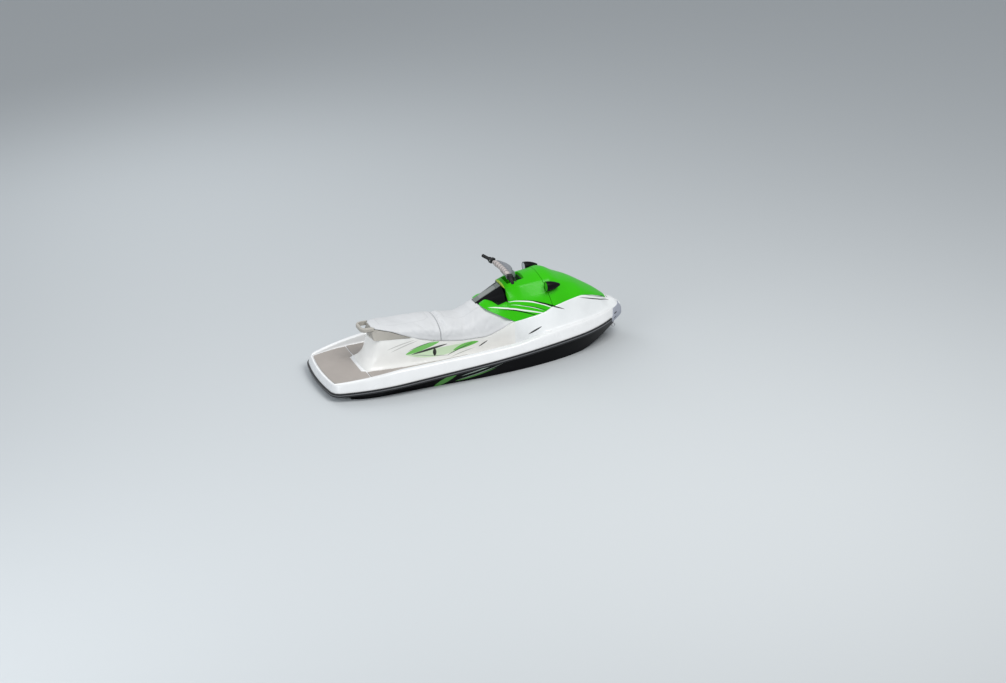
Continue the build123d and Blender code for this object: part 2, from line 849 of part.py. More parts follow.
def bin_form(grow, top_z):
    """Storage bin's outer form, grown by grow, up to top_z."""
    low_z = bin_floor_z - grow
    corners = [
        (bin_aft_x - grow, bin_aft_half_width + grow),
        (bin_fore_x + grow, bin_fore_half_width + grow),
        (bin_fore_x + grow, -bin_fore_half_width - grow),
        (bin_aft_x - grow, -bin_aft_half_width - grow),
    ]
    face = make_face(Polyline(*[(x, y, low_z) for x, y in corners], close=True))
    return extrude(face, amount=top_z - low_z, taper=-bin_taper)


def bin_pocket():
    return bin_form(bin_room, bow_x / 2)


def make_storage_bin():
    return bin_form(0.0, bin_top_z) - bin_form(-bin_wall, bin_top_z + 1)


def make_seat():
    sections = []
    for x, low_y, low_z, side_y, side_z, shoulder_y, shoulder_z, top_z in seat_rows:
        half = [(low_y, low_z), (side_y, side_z), (shoulder_y, shoulder_z)]
        sections.append(crowned_section(x, half, top_z))
    body = loft(sections, ruled=True)
    fore_x = ramp_foot_rows[0][0] - seat_gap
    body = body & box_at((stern_x, -beam_half, 0), (fore_x, beam_half, bow_x))
    return body - above_seat_slope(0.0) - console_solid(seat_clearance)


def mirror_plane(side, shift):
    return Plane(
        origin=(mirror_x + shift, side * mirror_y, mirror_z),
        x_dir=(0, 1, 0),
        z_dir=(1, 0, 0),
    )


def make_mirror(side):
    """Mirror housing, a rounded shell that narrows forward, with its foot on the hood."""
    sections = []
    for shift, half_width, half_height in mirror_rows:
        sections.append(mirror_plane(side, shift) * Ellipse(half_width, half_height))
    body = loft(sections)
    half_width, half_height = mirror_rows[0][1:]
    margin = mirror_glass_margin - seat_gap
    glass_space = extrude(
        mirror_plane(side, -1) * Ellipse(half_width - margin, half_height - margin),
        amount=mirror_glass_depth + 1,
    )
    foot = rod(
        (mirror_foot_x, side * mirror_foot_y, mirror_z - mirror_foot_drop),
        (mirror_x + mirror_foot_shift, side * mirror_y, mirror_z),
        mirror_foot_radius,
    )
    return body + foot - glass_space - make_cowl_solid(0.0, 0.0)


def make_mirror_glass(side):
    half_width, half_height = mirror_rows[0][1:]
    face = mirror_plane(side, 1) * Ellipse(half_width - mirror_glass_margin, half_height - mirror_glass_margin)
    return extrude(face, amount=mirror_glass_depth - 1 - seat_gap)


def bar_path():
    centre = along_steering(column_length)
    half = [
        (centre[0], 90.0, centre[2]),
        (centre[0] - bar_back / 3, 150.0, centre[2] + bar_rise),
        (centre[0] - bar_back, bar_half_width, centre[2] + bar_rise),
    ]
    return [(x, -y, z) for x, y, z in reversed(half)] + half


def make_handlebar():
    points = bar_path()
    path = FilletPolyline(*points, radius=bar_bend_radius)
    start = Plane(origin=points[0], z_dir=Vector(*points[1]) - Vector(*points[0]))
    return sweep(start * Circle(bar_radius), path=path)


def make_steering_column():
    top = along_steering(column_length)
    post = rod(along_steering(-column_socket_depth + 5), along_steering(column_length - 14), column_radius)
    clamp = Pos(*top) * Rot(0, -steering_lean, 0) * Box(56, 110, 40)
    return post + clamp - make_handlebar()


def bar_end(side):
    """End of the bar and the direction that its straight end points in."""
    points = bar_path()
    end = Vector(*points[-1]) if side > 0 else Vector(*points[0])
    before = Vector(*points[-2]) if side > 0 else Vector(*points[1])
    return end, (end - before).normalized()


def make_grip(side):
    end, unit = bar_end(side)
    inner = end - unit * grip_length
    grip = rod(tuple(end + unit * 6), tuple(inner), grip_radius)
    flange = rod(tuple(inner + unit * 6), tuple(inner), grip_radius + grip_flange)
    bore = rod(tuple(end + unit * 0.2), tuple(inner - unit), bar_radius)
    return grip + flange - bore


def make_switch_pod(side):
    """Switch housing clamped on the bar inboard of the grip."""
    end, unit = bar_end(side)
    centre = end - unit * ((bar_half_width - pod_centre_y) / abs(unit.Y))
    turn = math.degrees(math.atan2(-unit.X, side * unit.Y)) * side
    body = Pos(*centre) * Rot(0, 0, turn) * Box(*pod_size)
    return fillet(body.edges(), grip_radius / 2) - make_handlebar()


def make_bar_pad():
    """Soft pad over the middle of the bar, with its nose forward."""
    centre = along_steering(column_length + pad_lift)
    corners = pad_plan + [(x, -y) for x, y in reversed(pad_plan) if y > 0]
    face = make_face(Polyline(*[(x, y, -pad_height / 2) for x, y in corners], close=True))
    body = fillet(extrude(face, amount=pad_height).edges(), pad_round)
    return Pos(*centre) * Rot(0, pad_dip, 0) * body - make_handlebar() - make_steering_column()


def make_steering_shroud(column):
    """Cover that hides the column between the cockpit and the pad, longer ahead of the column than behind it."""
    sections = []
    for z, aft, fore, half in shroud_rows:
        share = (z - steering_foot[2]) / (along_steering(1.0)[2] - steering_foot[2])
        x = along_steering(share)[0]
        points = [(x - aft, half / 2), (x - aft / 2, half), (x + fore / 2, half), (x + fore, half / 3)]
        corners = points + [(x, -y) for x, y in reversed(points)]
        sections.append(make_face(Polyline(*[(x, y, z) for x, y in corners], close=True)))
    return loft(sections, ruled=True) - column - make_handlebar()


def make_throttle_lever():
    """Finger lever that lies ahead of the starboard grip, with its root against the switch pod."""
    end, unit = bar_end(-1)
    inner = end - unit * grip_length
    pod_face = -((abs(inner.Y) - pod_centre_y) / abs(unit.Y) - pod_size[1] / 2) + seat_gap
    near, far = lever_reach - lever_thickness, lever_reach
    root_y = pod_size[0] / 4
    points = [
        (pod_face, root_y),
        (pod_face, far - lever_thickness / 2),
        (pod_face + lever_root, far),
        (lever_length - lever_thickness, far + lever_thickness / 2),
        (lever_length, far - lever_thickness / 2),
        (lever_length - lever_thickness, near + lever_thickness / 4),
        (lever_thickness, near - lever_thickness / 4),
        (-lever_thickness / 4, near - lever_thickness / 2),
        (-lever_thickness / 4, root_y),
    ]
    base = Plane(origin=inner, x_dir=unit, z_dir=(0, 0, 1))
    return extrude(base * make_face(Polyline(*points, close=True)), amount=lever_half_height, both=True)


def make_drain_plugs():
    """Two round plugs on the transom, each with a rib to turn it by."""
    plugs = []
    y, z = plug_centre
    for side in (1, -1):
        start = transom_x - seat_gap
        disc = rod((start, side * y, z), (start - plug_thickness, side * y, z), plug_radius)
        rib = box_at(
            (start - 2 * plug_thickness, side * y - plug_radius * 0.8, z - plug_rib / 2),
            (start - plug_thickness / 2, side * y + plug_radius * 0.8, z + plug_rib / 2),
        )
        plugs.append(disc + rib)
    return Compound(plugs)


def ring(outer_front, outer_back, inner_front, inner_back, front_x, back_x):
    """Round duct about the pump axis between two places, with a straight or tapered wall."""
    def cone(front, back, extra):
        planes = [
            Plane(origin=(front_x + extra, 0, pump_axis_z), z_dir=(-1, 0, 0)),
            Plane(origin=(back_x - extra, 0, pump_axis_z), z_dir=(-1, 0, 0)),
        ]
        return loft([planes[0] * Circle(front), planes[1] * Circle(back)])
    return cone(outer_front, outer_back, 0.0) - cone(inner_front, inner_back, 0.01)


def make_pump_housing():
    tube = ring(
        pump_bore_radius + pump_wall, pump_bore_radius + pump_wall,
        pump_bore_radius, pump_bore_radius, tunnel_front_x - seat_gap, pump_aft_x,
    )
    front = tunnel_front_x - seat_gap
    flange = box_at(
        (front - pump_flange_thickness, -pump_flange_half, pump_axis_z - pump_flange_drop),
        (front, pump_flange_half, pump_axis_z + pump_flange_half),
    )
    flange = flange - rod((front + 1, 0, pump_axis_z), (front - 60, 0, pump_axis_z), pump_bore_radius + 1)
    return tube + flange


def make_stator():
    """Guide vane section with its hub, the narrowing outlet and the bosses of the nozzle and the bucket."""
    front = pump_aft_x - seat_gap
    outer = ring(
        pump_bore_radius + pump_wall, venturi_exit_radius + venturi_wall,
        pump_bore_radius, venturi_exit_radius, front, venturi_neck_x,
    )
    neck = ring(
        venturi_exit_radius + venturi_wall, venturi_exit_radius + venturi_wall,
        venturi_exit_radius, venturi_exit_radius, venturi_neck_x, venturi_aft_x,
    )
    hub_planes = [
        Plane(origin=(front, 0, pump_axis_z), z_dir=(-1, 0, 0)),
        Plane(origin=(venturi_neck_x, 0, pump_axis_z), z_dir=(-1, 0, 0)),
    ]
    tail_radius = hub_radius * hub_tail_share
    hub = loft([hub_planes[0] * Circle(hub_radius), hub_planes[1] * Circle(tail_radius)])
    body = outer + neck
    vane_inner = ring(
        pump_bore_radius + 4, venturi_exit_radius + 4, hub_radius - 4, tail_radius - 4, front, venturi_neck_x
    )
    for index in range(vane_count):
        turn = 360.0 * index / vane_count
        blade = box_at((venturi_neck_x, -vane_thickness / 2, 0), (front, vane_thickness / 2, pump_bore_radius + 4))
        blade = Pos(0, 0, pump_axis_z) * Rot(turn, 0, 0) * blade
        body = body + (blade & vane_inner)
    body = body + hub
    for side in (1, -1):
        boss = rod(
            (nozzle_pivot_x, 0, pump_axis_z + side * venturi_exit_radius + side * 4),
            (nozzle_pivot_x, 0, pump_axis_z + side * (nozzle_cup_radius - 8)),
            nozzle_boss_radius,
        )
        pin_hole = rod(
            (nozzle_pivot_x, 0, pump_axis_z + side * (venturi_exit_radius + venturi_wall + 1)),
            (nozzle_pivot_x, 0, pump_axis_z + side * nozzle_cup_radius),
            nozzle_pin_radius + seat_gap,
        )
        arm = rod(
            (bucket_pivot_x, side * (venturi_exit_radius + 4), pump_axis_z),
            (bucket_pivot_x, side * (bucket_half_width - seat_gap), pump_axis_z),
            bucket_boss_radius,
        )
        stub = rod(
            (bucket_pivot_x, side * (bucket_half_width - 1), pump_axis_z),
            (bucket_pivot_x, side * (bucket_half_width + bucket_wall), pump_axis_z),
            bucket_pin_radius,
        )
        body = body + boss + arm + stub - pin_hole
    bearing = rod((front + 1, 0, pump_axis_z), (front - stub_length - 10, 0, pump_axis_z), stub_radius + seat_gap)
    return body - bearing


def make_nozzle():
    body = ring(
        nozzle_cup_radius + nozzle_wall, nozzle_exit_radius + nozzle_wall,
        nozzle_cup_radius, nozzle_exit_radius, nozzle_front_x, nozzle_aft_x,
    )
    for side in (1, -1):
        pin = rod(
            (nozzle_pivot_x, 0, pump_axis_z + side * (venturi_exit_radius + venturi_wall + 2)),
            (nozzle_pivot_x, 0, pump_axis_z + side * (nozzle_cup_radius + 4)),
            nozzle_pin_radius,
        )
        body = body + pin
    aft, fore, reach, height = nozzle_lever
    lever = box_at(
        (nozzle_pivot_x - aft, nozzle_cup_radius - 2, pump_axis_z - height / 2),
        (nozzle_pivot_x - fore, nozzle_cup_radius + reach, pump_axis_z + height / 2),
    )
    return body + lever


def make_bucket():
    """Reverse bucket: a curved shell between two side arms, drawn raised."""
    outer = rod(
        (bucket_pivot_x, -bucket_half_width - bucket_wall, pump_axis_z),
        (bucket_pivot_x, bucket_half_width + bucket_wall, pump_axis_z),
        bucket_radius,
    )
    inner = rod(
        (bucket_pivot_x, -bucket_half_width, pump_axis_z),
        (bucket_pivot_x, bucket_half_width, pump_axis_z),
        bucket_radius - bucket_wall,
    )
    pivot = (bucket_pivot_x, pump_axis_z)
    wedge = [pivot]
    for angle in (bucket_first_angle, (bucket_first_angle + bucket_last_angle) / 2, bucket_last_angle):
        wedge.append(polar(pivot, bucket_radius * 1.3, angle))
    body = (outer - inner) & side_slab(wedge, bucket_radius)
    eye = rod(
        (bucket_pivot_x, -bucket_half_width - bucket_wall, pump_axis_z),
        (bucket_pivot_x, bucket_half_width + bucket_wall, pump_axis_z),
        bucket_eye_radius,
    )
    body = body + (eye - inner)
    hole = rod(
        (bucket_pivot_x, -bucket_radius, pump_axis_z),
        (bucket_pivot_x, bucket_radius, pump_axis_z),
        bucket_pin_radius + seat_gap,
    )
    return body - hole


def make_impeller():
    """Shaft, hub and twisted blades."""
    back = pump_aft_x + impeller_back_gap
    front = back + impeller_length
    shaft_front_x = tunnel_front_x + shaft_length
    tip_radius = pump_bore_radius - impeller_clearance
    hub = rod((back, 0, pump_axis_z), (front, 0, pump_axis_z), hub_radius)
    body = hub + rod((front - 1, 0, pump_axis_z), (shaft_front_x, 0, pump_axis_z), shaft_radius)
    body = body + rod((pump_aft_x - stub_length, 0, pump_axis_z), (back + 1, 0, pump_axis_z), stub_radius)
    for index in range(blade_count):
        start = 360.0 * index / blade_count
        sections = []
        for share in (0.0, 0.5, 1.0):
            x = back + 4 + (front - back - 8) * share
            plane = Plane(origin=(x, 0, pump_axis_z), x_dir=(0, 1, 0), z_dir=(1, 0, 0))
            middle = (hub_radius - 6 + tip_radius) / 2
            bar = Pos(middle, 0) * Rectangle(tip_radius - hub_radius + 6, blade_thickness)
            sections.append(plane * Rot(0, 0, start + blade_twist * share) * bar)
        blade = loft(sections)
        body = body + blade
    trim = rod((back - 60, 0, pump_axis_z), (shaft_front_x + 10, 0, pump_axis_z), tip_radius)
    return body & trim


def make_ride_plate():
    low = plate_drop
    edge = plate_edge_z
    half = tunnel_half_width - seat_gap
    points = [(0, low), (half, edge), (half, edge + plate_thickness), (0, low + plate_thickness)]
    face = half_section(tunnel_front_x - plate_length, points)
    return extrude(face, amount=plate_length - seat_gap, dir=(1, 0, 0))


def make_intake_grate():
    top = -draught + intake_pocket_depth - seat_gap
    frame = box_at(
        (tunnel_front_x + grate_end_gap, -intake_frame_half_width, top - grate_thickness),
        (intake_front_x - grate_end_gap, intake_frame_half_width, top),
    )
    slots = (intake_frame_half_width * 2 - grate_bar) / grate_slots
    for index in range(grate_slots):
        low_y = -intake_frame_half_width + grate_bar + slots * index
        frame = frame - box_at(
            (tunnel_front_x + grate_aft_rim, low_y, top - 2 * grate_thickness),
            (intake_front_x - grate_fore_rim, low_y + slots - grate_bar, top + 1),
        )
    return frame


def bow_region():
    """Room of the bow bumper round the nose of the outline."""
    centre, radius = outline_arcs()[0][:2]
    aft_x = centre[0] + radius * math.cos(math.radians(bumper_turn))
    return box_at((aft_x, -beam_half, -beam_half), (2 * bow_x, beam_half, bow_x))


def make_rub_rail():
    outer = extrude(sheer_plane(-rail_drop) * outline(rail_width), amount=rail_drop + rail_rise)
    inner = extrude(sheer_plane(-rail_drop - 1) * outline(seat_gap), amount=rail_drop + rail_rise + 2)
    return outer - inner - bow_region()


def make_bow_bumper(deck):
    """Bumper that wraps the nose, over the rail's line and up the band above it."""
    share = (bumper_height - flange_height) / (band_height - flange_height)
    thickness = bumper_thickness + seat_gap
    low, high = -rail_drop - bumper_lap, rail_rise + bumper_lap
    wide = rail_width + bumper_lap
    lower = extrude(sheer_plane(low) * outline(wide), amount=high - low)
    upper = loft(
        [sheer_plane(high) * outline(wide), sheer_plane(bumper_height) * outline(thickness - band_inset * share)],
        ruled=True,
    )
    below = extrude(sheer_plane(2 * low) * outline(seat_gap), amount=flange_height - 2 * low)
    room = bow_region() & box_at((0, -beam_half, 0), (2 * bow_x, beam_half, bow_x))
    return ((lower + upper) & room) - below - deck


def handle_section(x, foot_y, top_y):
    top_z = row_value(seat_rows, x, 2) - seat_gap
    return half_section(x, [(0, handle_base_z), (foot_y, handle_base_z), (top_y, top_z), (0, top_z)])


def loop_outline(shrink):
    """Plan of the handle's loop, a U with round corners that opens forward."""
    half = handle_half_width - shrink
    aft_x = seat_rows[0][0] - handle_reach + shrink
    corner = handle_corner_radius - shrink
    middle = corner * (1 - math.sin(math.radians(45)))
    edges = [
        Line((handle_root_x, half), (aft_x + corner, half)),
        ThreePointArc((aft_x + corner, half), (aft_x + middle, half - middle), (aft_x, half - corner)),
        Line((aft_x, half - corner), (aft_x, -half + corner)),
        ThreePointArc((aft_x, -half + corner), (aft_x + middle, -half + middle), (aft_x + corner, -half)),
        Line((aft_x + corner, -half), (handle_root_x, -half)),
        Line((handle_root_x, -half), (handle_root_x, half)),
    ]
    return make_face(Wire(edges))


def make_grab_handle(seat):
    """Moulding under the seat's tail, with a loop to hold on to aft of it."""
    sections = []
    for x in handle_stations:
        foot_y = row_value(pedestal_rows, x, 4) + handle_foot_lap
        top_y = row_value(seat_rows, x, 1) + handle_top_lap
        sections.append(handle_section(x, foot_y, top_y))
    saddle = loft(sections, ruled=True)
    plate = extrude(Pos(0, 0, handle_loop_z) * loop_outline(0.0), amount=handle_loop_thickness)
    plate = fillet(plate.edges().filter_by(lambda edge: edge.center().X < handle_root_x - 1), handle_loop_round)
    gap = extrude(Pos(0, 0, handle_loop_z - 1) * loop_outline(handle_bar_width), amount=handle_loop_thickness + 2)
    loop = plate - (gap & box_at((stern_x, -beam_half, 0), (seat_rows[0][0] - seat_clearance, beam_half, bow_x)))
    return saddle + (loop - seat_tail_form()) - seat


def seat_tail_form():
    """Room of the seat's tail, so that the loop's roots end at its sides."""
    sections = []
    for row in seat_rows[:4]:
        x, low_z = row[0], row[2]
        grown = row[3] + seat_gap
        sections.append(half_section(x, [(0, low_z - seat_gap), (grown, low_z - seat_gap), (grown, bow_x), (0, bow_x)]))
    return loft(sections, ruled=True)


def mat_layer():
    """Thin layer on the whole deck floor, clear of its rim."""
    layer = side_slab(floor_line(seat_gap) + floor_line(seat_gap + mat_thickness)[::-1], 2 * beam_half)
    return layer & extrude(well_outline(mat_margin), amount=bow_x)


def pedestal_foot(grow):
    """Plan of the pedestal's foot on the floor, grown by grow."""
    rows = [(row[0], row[1] + grow) for row in pedestal_rows]
    first = (rows[0][0] + pedestal_back[0][0] - pedestal_rows[0][0] - grow, rows[0][1])
    rows = [first] + rows[1:]
    corners = rows + [(x, -y) for x, y in reversed(rows)]
    return make_face(Polyline(*[(x, y, 0) for x, y in corners], close=True))


def make_rear_mat():
    aft = box_at((stern_x, -beam_half, 0), (mat_split_x - mat_split_gap / 2, beam_half, bow_x))
    return (mat_layer() & aft) - extrude(pedestal_foot(mat_margin), amount=bow_x)


def make_side_mat(side):
    """Mat of one footwell, between the pedestal and the rim."""
    low = (mat_split_x + mat_split_gap / 2, min(0, side * beam_half), 0)
    high = (mat_fore_x, max(0, side * beam_half), bow_x)
    return (mat_layer() & box_at(low, high)) - extrude(pedestal_foot(mat_margin), amount=bow_x)


def make_sponson(side, hull):
    face = make_face(Polyline(*[(x, side * sponson_root_y, z) for x, z in sponson_profile], close=True))
    reach = beam_half - sponson_side_margin - sponson_root_y
    return extrude(face, amount=reach, dir=(0, side, 0)) - hull


def make_eye(centre, turn, hull):
    """Towing eye, a ring whose back is let into the hull. Turn is its roll about X."""
    ring_solid = Cylinder(eye_outer_radius, eye_width) - Cylinder(eye_bore_radius, eye_width + 2)
    return Pos(*centre) * Rot(turn, 0, 0) * ring_solid - hull


hull = make_hull()
deck = make_deck() - bin_pocket()
pedestal = make_pedestal(deck)
fore_deck = make_fore_deck(deck)
seat = make_seat()
far = 2 * bow_x
front_seat = seat & box_at((seat_split_x + seat_split_gap / 2, -far, 0), (far, far, far))
rear_seat = seat & box_at((-far, -far, 0), (seat_split_x - seat_split_gap / 2, far, far))

parts = {
    "hull": hull,
    "deck": deck,
    "pedestal": pedestal,
    "fore_deck": fore_deck,
    "rub_rail": make_rub_rail(),
    "bow_bumper": make_bow_bumper(deck + fore_deck),
    "cowl_base": make_cowl_base(),
    "console": make_console(),
    "glovebox_lid": lid_solid(0.0),
    "display": make_display(),
    "hood": make_hood(),
    "storage_bin": make_storage_bin(),
    "front_seat": front_seat,
    "rear_seat": rear_seat,
    "grab_handle": make_grab_handle(rear_seat),
    "handlebar": make_handlebar(),
    "steering_column": make_steering_column(),
    "bar_pad": make_bar_pad(),
    "steering_shroud": make_steering_shroud(make_steering_column()),
    "throttle_lever": make_throttle_lever(),
    "drain_plugs": make_drain_plugs(),
    "pump_housing": make_pump_housing(),
    "stator": make_stator(),
    "steering_nozzle": make_nozzle(),
    "reverse_bucket": make_bucket(),
    "impeller": make_impeller(),
    "ride_plate": make_ride_plate(),
    "intake_grate": make_intake_grate(),
    "engine_block": Pos(*engine_centre) * Box(*engine_size),
    "mat_rear": make_rear_mat(),
    "bow_eye": make_eye(bow_eye_centre, 90, hull),
}
for name, side in (("port", 1), ("starboard", -1)):
    parts["mirror_" + name] = make_mirror(side)
    parts["mirror_glass_" + name] = make_mirror_glass(side)
    parts["grip_" + name] = make_grip(side)
    parts["switch_pod_" + name] = make_switch_pod(side)
    parts["sponson_" + name] = make_sponson(side, hull)
    parts["mat_" + name] = make_side_mat(side)
    x, y, z = stern_eye_centre
    parts["stern_eye_" + name] = make_eye((x, side * y, z), 0, hull)

for name, solid in parts.items():
    export_step(solid, f"parts/{name}.step")
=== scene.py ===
import json
import math
from functools import partial

import bmesh
import bpy
import numpy as np
from mathutils import Matrix, Vector


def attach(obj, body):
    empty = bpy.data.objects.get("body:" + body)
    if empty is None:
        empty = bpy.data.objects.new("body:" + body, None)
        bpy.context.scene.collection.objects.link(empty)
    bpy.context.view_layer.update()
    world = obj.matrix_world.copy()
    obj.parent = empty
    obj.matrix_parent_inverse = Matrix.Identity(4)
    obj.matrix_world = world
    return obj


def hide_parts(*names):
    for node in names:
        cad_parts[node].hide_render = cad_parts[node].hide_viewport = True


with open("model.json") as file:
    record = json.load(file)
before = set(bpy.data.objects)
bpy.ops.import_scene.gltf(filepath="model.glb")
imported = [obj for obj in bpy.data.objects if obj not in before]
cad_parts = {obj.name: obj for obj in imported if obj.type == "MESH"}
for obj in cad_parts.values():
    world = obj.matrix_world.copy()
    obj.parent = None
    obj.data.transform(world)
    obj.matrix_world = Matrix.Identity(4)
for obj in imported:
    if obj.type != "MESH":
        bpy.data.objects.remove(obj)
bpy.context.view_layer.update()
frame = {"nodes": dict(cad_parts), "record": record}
nodes = frame["nodes"]
print("frame loaded with", len(nodes), "nodes")

# Tables and profiles

def smoothRows(rows, at):
    # Cubic through a table's rows, by the first column. A slope is the harmonic mean of the steps beside it,
    # and 0 where they turn, so nothing overshoots a row.
    table = np.array(rows, float)
    x = table[:, 0]
    at = np.clip(np.asarray(at, float), x[0], x[-1])
    span = np.diff(x)[:, None]
    step = np.diff(table, axis=0) / span
    both = step[:-1] * step[1:] > 0
    total = np.where(both, step[:-1] + step[1:], 1.0)
    slope = np.vstack([step[:1], np.where(both, 2 * step[:-1] * step[1:] / total, 0.0), step[-1:]])
    k = np.clip(np.searchsorted(x, at) - 1, 0, len(x) - 2)
    t = ((at - x[k]) / span[k, 0])[:, None]
    low, high = table[k], table[k + 1]
    return (
        (2 * t**3 - 3 * t**2 + 1) * low + (t**3 - 2 * t**2 + t) * span[k] * slope[k]
        + (3 * t**2 - 2 * t**3) * high + (t**3 - t**2) * span[k] * slope[k + 1]
    )


def roundCorners(corners, setbacks, closed=True, steps=5):
    # Each corner of a profile becomes a parabola that starts a setback before it and ends a setback after it.
    # corners is (corner, station, xyz); a setback is cut to half of the side that it lies on.
    grid = []
    count = len(corners)
    u = np.linspace(0, 1, steps + 1)[:, None, None]
    for index in range(count):
        here = corners[index]
        if not closed and index in (0, count - 1):
            grid.append(here[None])
            continue
        ends = []
        for other in (corners[index - 1], corners[(index + 1) % count]):
            side = other - here
            length = np.maximum(np.linalg.norm(side, axis=1, keepdims=True), 1e-9)
            ends.append(here + side * np.minimum(setbacks[index] / length, 0.5))
        grid.append((1 - u) ** 2 * ends[0] + 2 * u * (1 - u) * here + u**2 * ends[1])
    return np.concatenate(grid)


def stationCorners(xs, *points):
    # Half points (y, z) of a section, port side from bottom to top, become corners (corner, station, xyz)
    return np.stack([np.stack(np.broadcast_arrays(xs, y, z), 1) for y, z in points])


def mirroredLoop(half):
    # A half profile whose first and last points are on the centreline becomes the whole closed loop
    starboard = half[1:-1][::-1] * np.array([1, -1, 1])
    return np.concatenate([half, starboard])


def roundedLoop(half, setbacks, steps=5):
    # The closed loop of a half profile, with the half's setbacks on both sides
    return roundCorners(mirroredLoop(half), setbacks + setbacks[1:-1][::-1], steps=steps)


def mirroredSpan(half):
    # A half profile from the port edge up to the centreline goes on down to the starboard edge
    return np.concatenate([half, half[:-1][::-1] * np.array([1, -1, 1])])


def bulgeEnds(grid, radius, steps=4, ends=(0, 1)):
    # Rounds the rim at the ends of a loft: past an end the section draws in by a quarter circle's cosine
    # while it moves out by its sine
    parts = [grid]
    for end in ends:
        section = grid[:, -1] if end else grid[:, 0]
        inner = grid[:, -2] if end else grid[:, 1]
        centre = section.mean(0)
        outward = centre - inner.mean(0)
        outward = outward / np.linalg.norm(outward)
        arm = section - centre
        size = np.maximum(np.linalg.norm(arm, axis=1, keepdims=True), 1e-6)
        turn = np.linspace(0, math.pi / 2, steps + 1)[1:]
        shrink = [np.maximum(1 - radius * (1 - math.cos(a)) / size, 0.02) for a in turn]
        extra = np.stack([centre + arm * s + outward * radius * math.sin(a) for s, a in zip(shrink, turn)], 1)
        parts = parts + [extra] if end else [extra[:, ::-1]] + parts
    return np.concatenate(parts, 1)


def withSettings(target, **settings):
    for label, value in settings.items():
        setattr(target, label, value)
    return target


def addObject(name, data):
    piece = bpy.data.objects.new(name, data)
    bpy.context.scene.collection.objects.link(piece)
    return piece


def meshFrom(name, vertices, faces, angle=35):
    mesh = bpy.data.meshes.new(name)
    mesh.from_pydata(vertices, [], faces)
    piece = addObject(name, mesh)
    tidyMesh(piece, angle)
    return piece


def smoothFaces(piece):
    piece.data.polygons.foreach_set("use_smooth", np.ones(len(piece.data.polygons), bool))


weldDistance = 2e-5


def tidyMesh(piece, angle=35):
    # Joins doubles, drops faces with no area, turns all faces outwards and keeps only real creases sharp
    work = bmesh.new()
    work.from_mesh(piece.data)
    bmesh.ops.remove_doubles(work, verts=work.verts, dist=weldDistance)
    bmesh.ops.dissolve_degenerate(work, edges=work.edges, dist=1e-6)
    bmesh.ops.recalc_face_normals(work, faces=work.faces)
    work.to_mesh(piece.data)
    work.free()
    smoothFaces(piece)
    piece.data.set_sharp_from_angle(angle=math.radians(angle))
    piece.data.update()


def gridMesh(name, grid, across=False, along=False, caps=(), angle=35):
    # A grid (profile point, station, xyz) as quads. across joins the last profile point to the first,
    # along joins the last station to the first, and caps closes the first (0) or last (1) station.
    rows, cols = grid.shape[:2]
    index = np.arange(rows * cols).reshape(rows, cols)
    up = np.roll(index, -1, 0) if across else index[1:]
    low = index if across else index[:-1]
    if along:
        faces = np.stack([low, np.roll(low, -1, 1), np.roll(up, -1, 1), up], -1).reshape(-1, 4).tolist()
    else:
        faces = np.stack([low[:, :-1], low[:, 1:], up[:, 1:], up[:, :-1]], -1).reshape(-1, 4).tolist()
    for cap in caps:
        faces.append(index[:, -cap].tolist())
    return meshFrom(name, grid.reshape(-1, 3).tolist(), faces, angle)


loft = partial(gridMesh, across=True, caps=(0, 1))


def prism(name, outline, halfWidth):
    # A side outline (x, z), as wide on both sides of the centreline
    count = len(outline)
    vertices = [(x, side * halfWidth, z) for side in (1, -1) for x, z in outline]
    faces = [list(range(count)), list(range(count, 2 * count))]
    faces += [[i, (i + 1) % count, count + (i + 1) % count, count + i] for i in range(count)]
    return meshFrom(name, vertices, faces)


def blockProfile(inner, outer, low, high):
    return [(inner, low), (outer, low), (outer, high), (inner, high)]


def carve(piece, cutters, operation="DIFFERENCE"):
    # Cuts closed solids away, or keeps only what each shares with the piece
    for cutter in cutters:
        step = piece.modifiers.new("carve", "BOOLEAN")
        withSettings(step, operation=operation, object=cutter, solver="EXACT")
    applyModifiers(piece)
    for cutter in cutters:
        bpy.data.objects.remove(cutter)
    tidyMesh(piece)
    return piece


def applyModifiers(piece):
    bpy.context.view_layer.update()
    evaluated = piece.evaluated_get(bpy.context.evaluated_depsgraph_get())
    mesh = bpy.data.meshes.new_from_object(evaluated)
    old = piece.data
    piece.modifiers.clear()
    piece.data = mesh
    bpy.data.meshes.remove(old)


def slicePiece(piece, point, normal, fill=True):
    # Keeps what lies on the normal's side of a plane, and closes the cut if fill is set
    work = bmesh.new()
    work.from_mesh(piece.data)
    whole = work.verts[:] + work.edges[:] + work.faces[:]
    cut = bmesh.ops.bisect_plane(work, geom=whole, plane_co=point, plane_no=normal, clear_inner=True)
    if fill:
        edges = [g for g in cut["geom_cut"] if isinstance(g, bmesh.types.BMEdge)]
        bmesh.ops.contextual_create(work, geom=edges)
    work.to_mesh(piece.data)
    work.free()
    tidyMesh(piece)


def turned(name, start, axis, profile, sides=40):
    # A profile (distance along the axis, radius) turned round an axis
    axis = np.array(axis, float) / np.linalg.norm(axis)
    guide = np.array([0.0, 0.0, 1.0]) if abs(axis[2]) < 0.9 else np.array([1.0, 0.0, 0.0])
    side = np.cross(axis, guide)
    side = side / np.linalg.norm(side)
    lift = np.cross(side, axis)
    profile = np.array(profile, float)
    turn = np.linspace(0, 2 * math.pi, sides, endpoint=False)[:, None, None]
    ring = np.cos(turn) * side + np.sin(turn) * lift
    grid = np.array(start) + profile[:, :1] * axis + profile[:, 1:] * ring
    return loft(name, grid, angle=30)


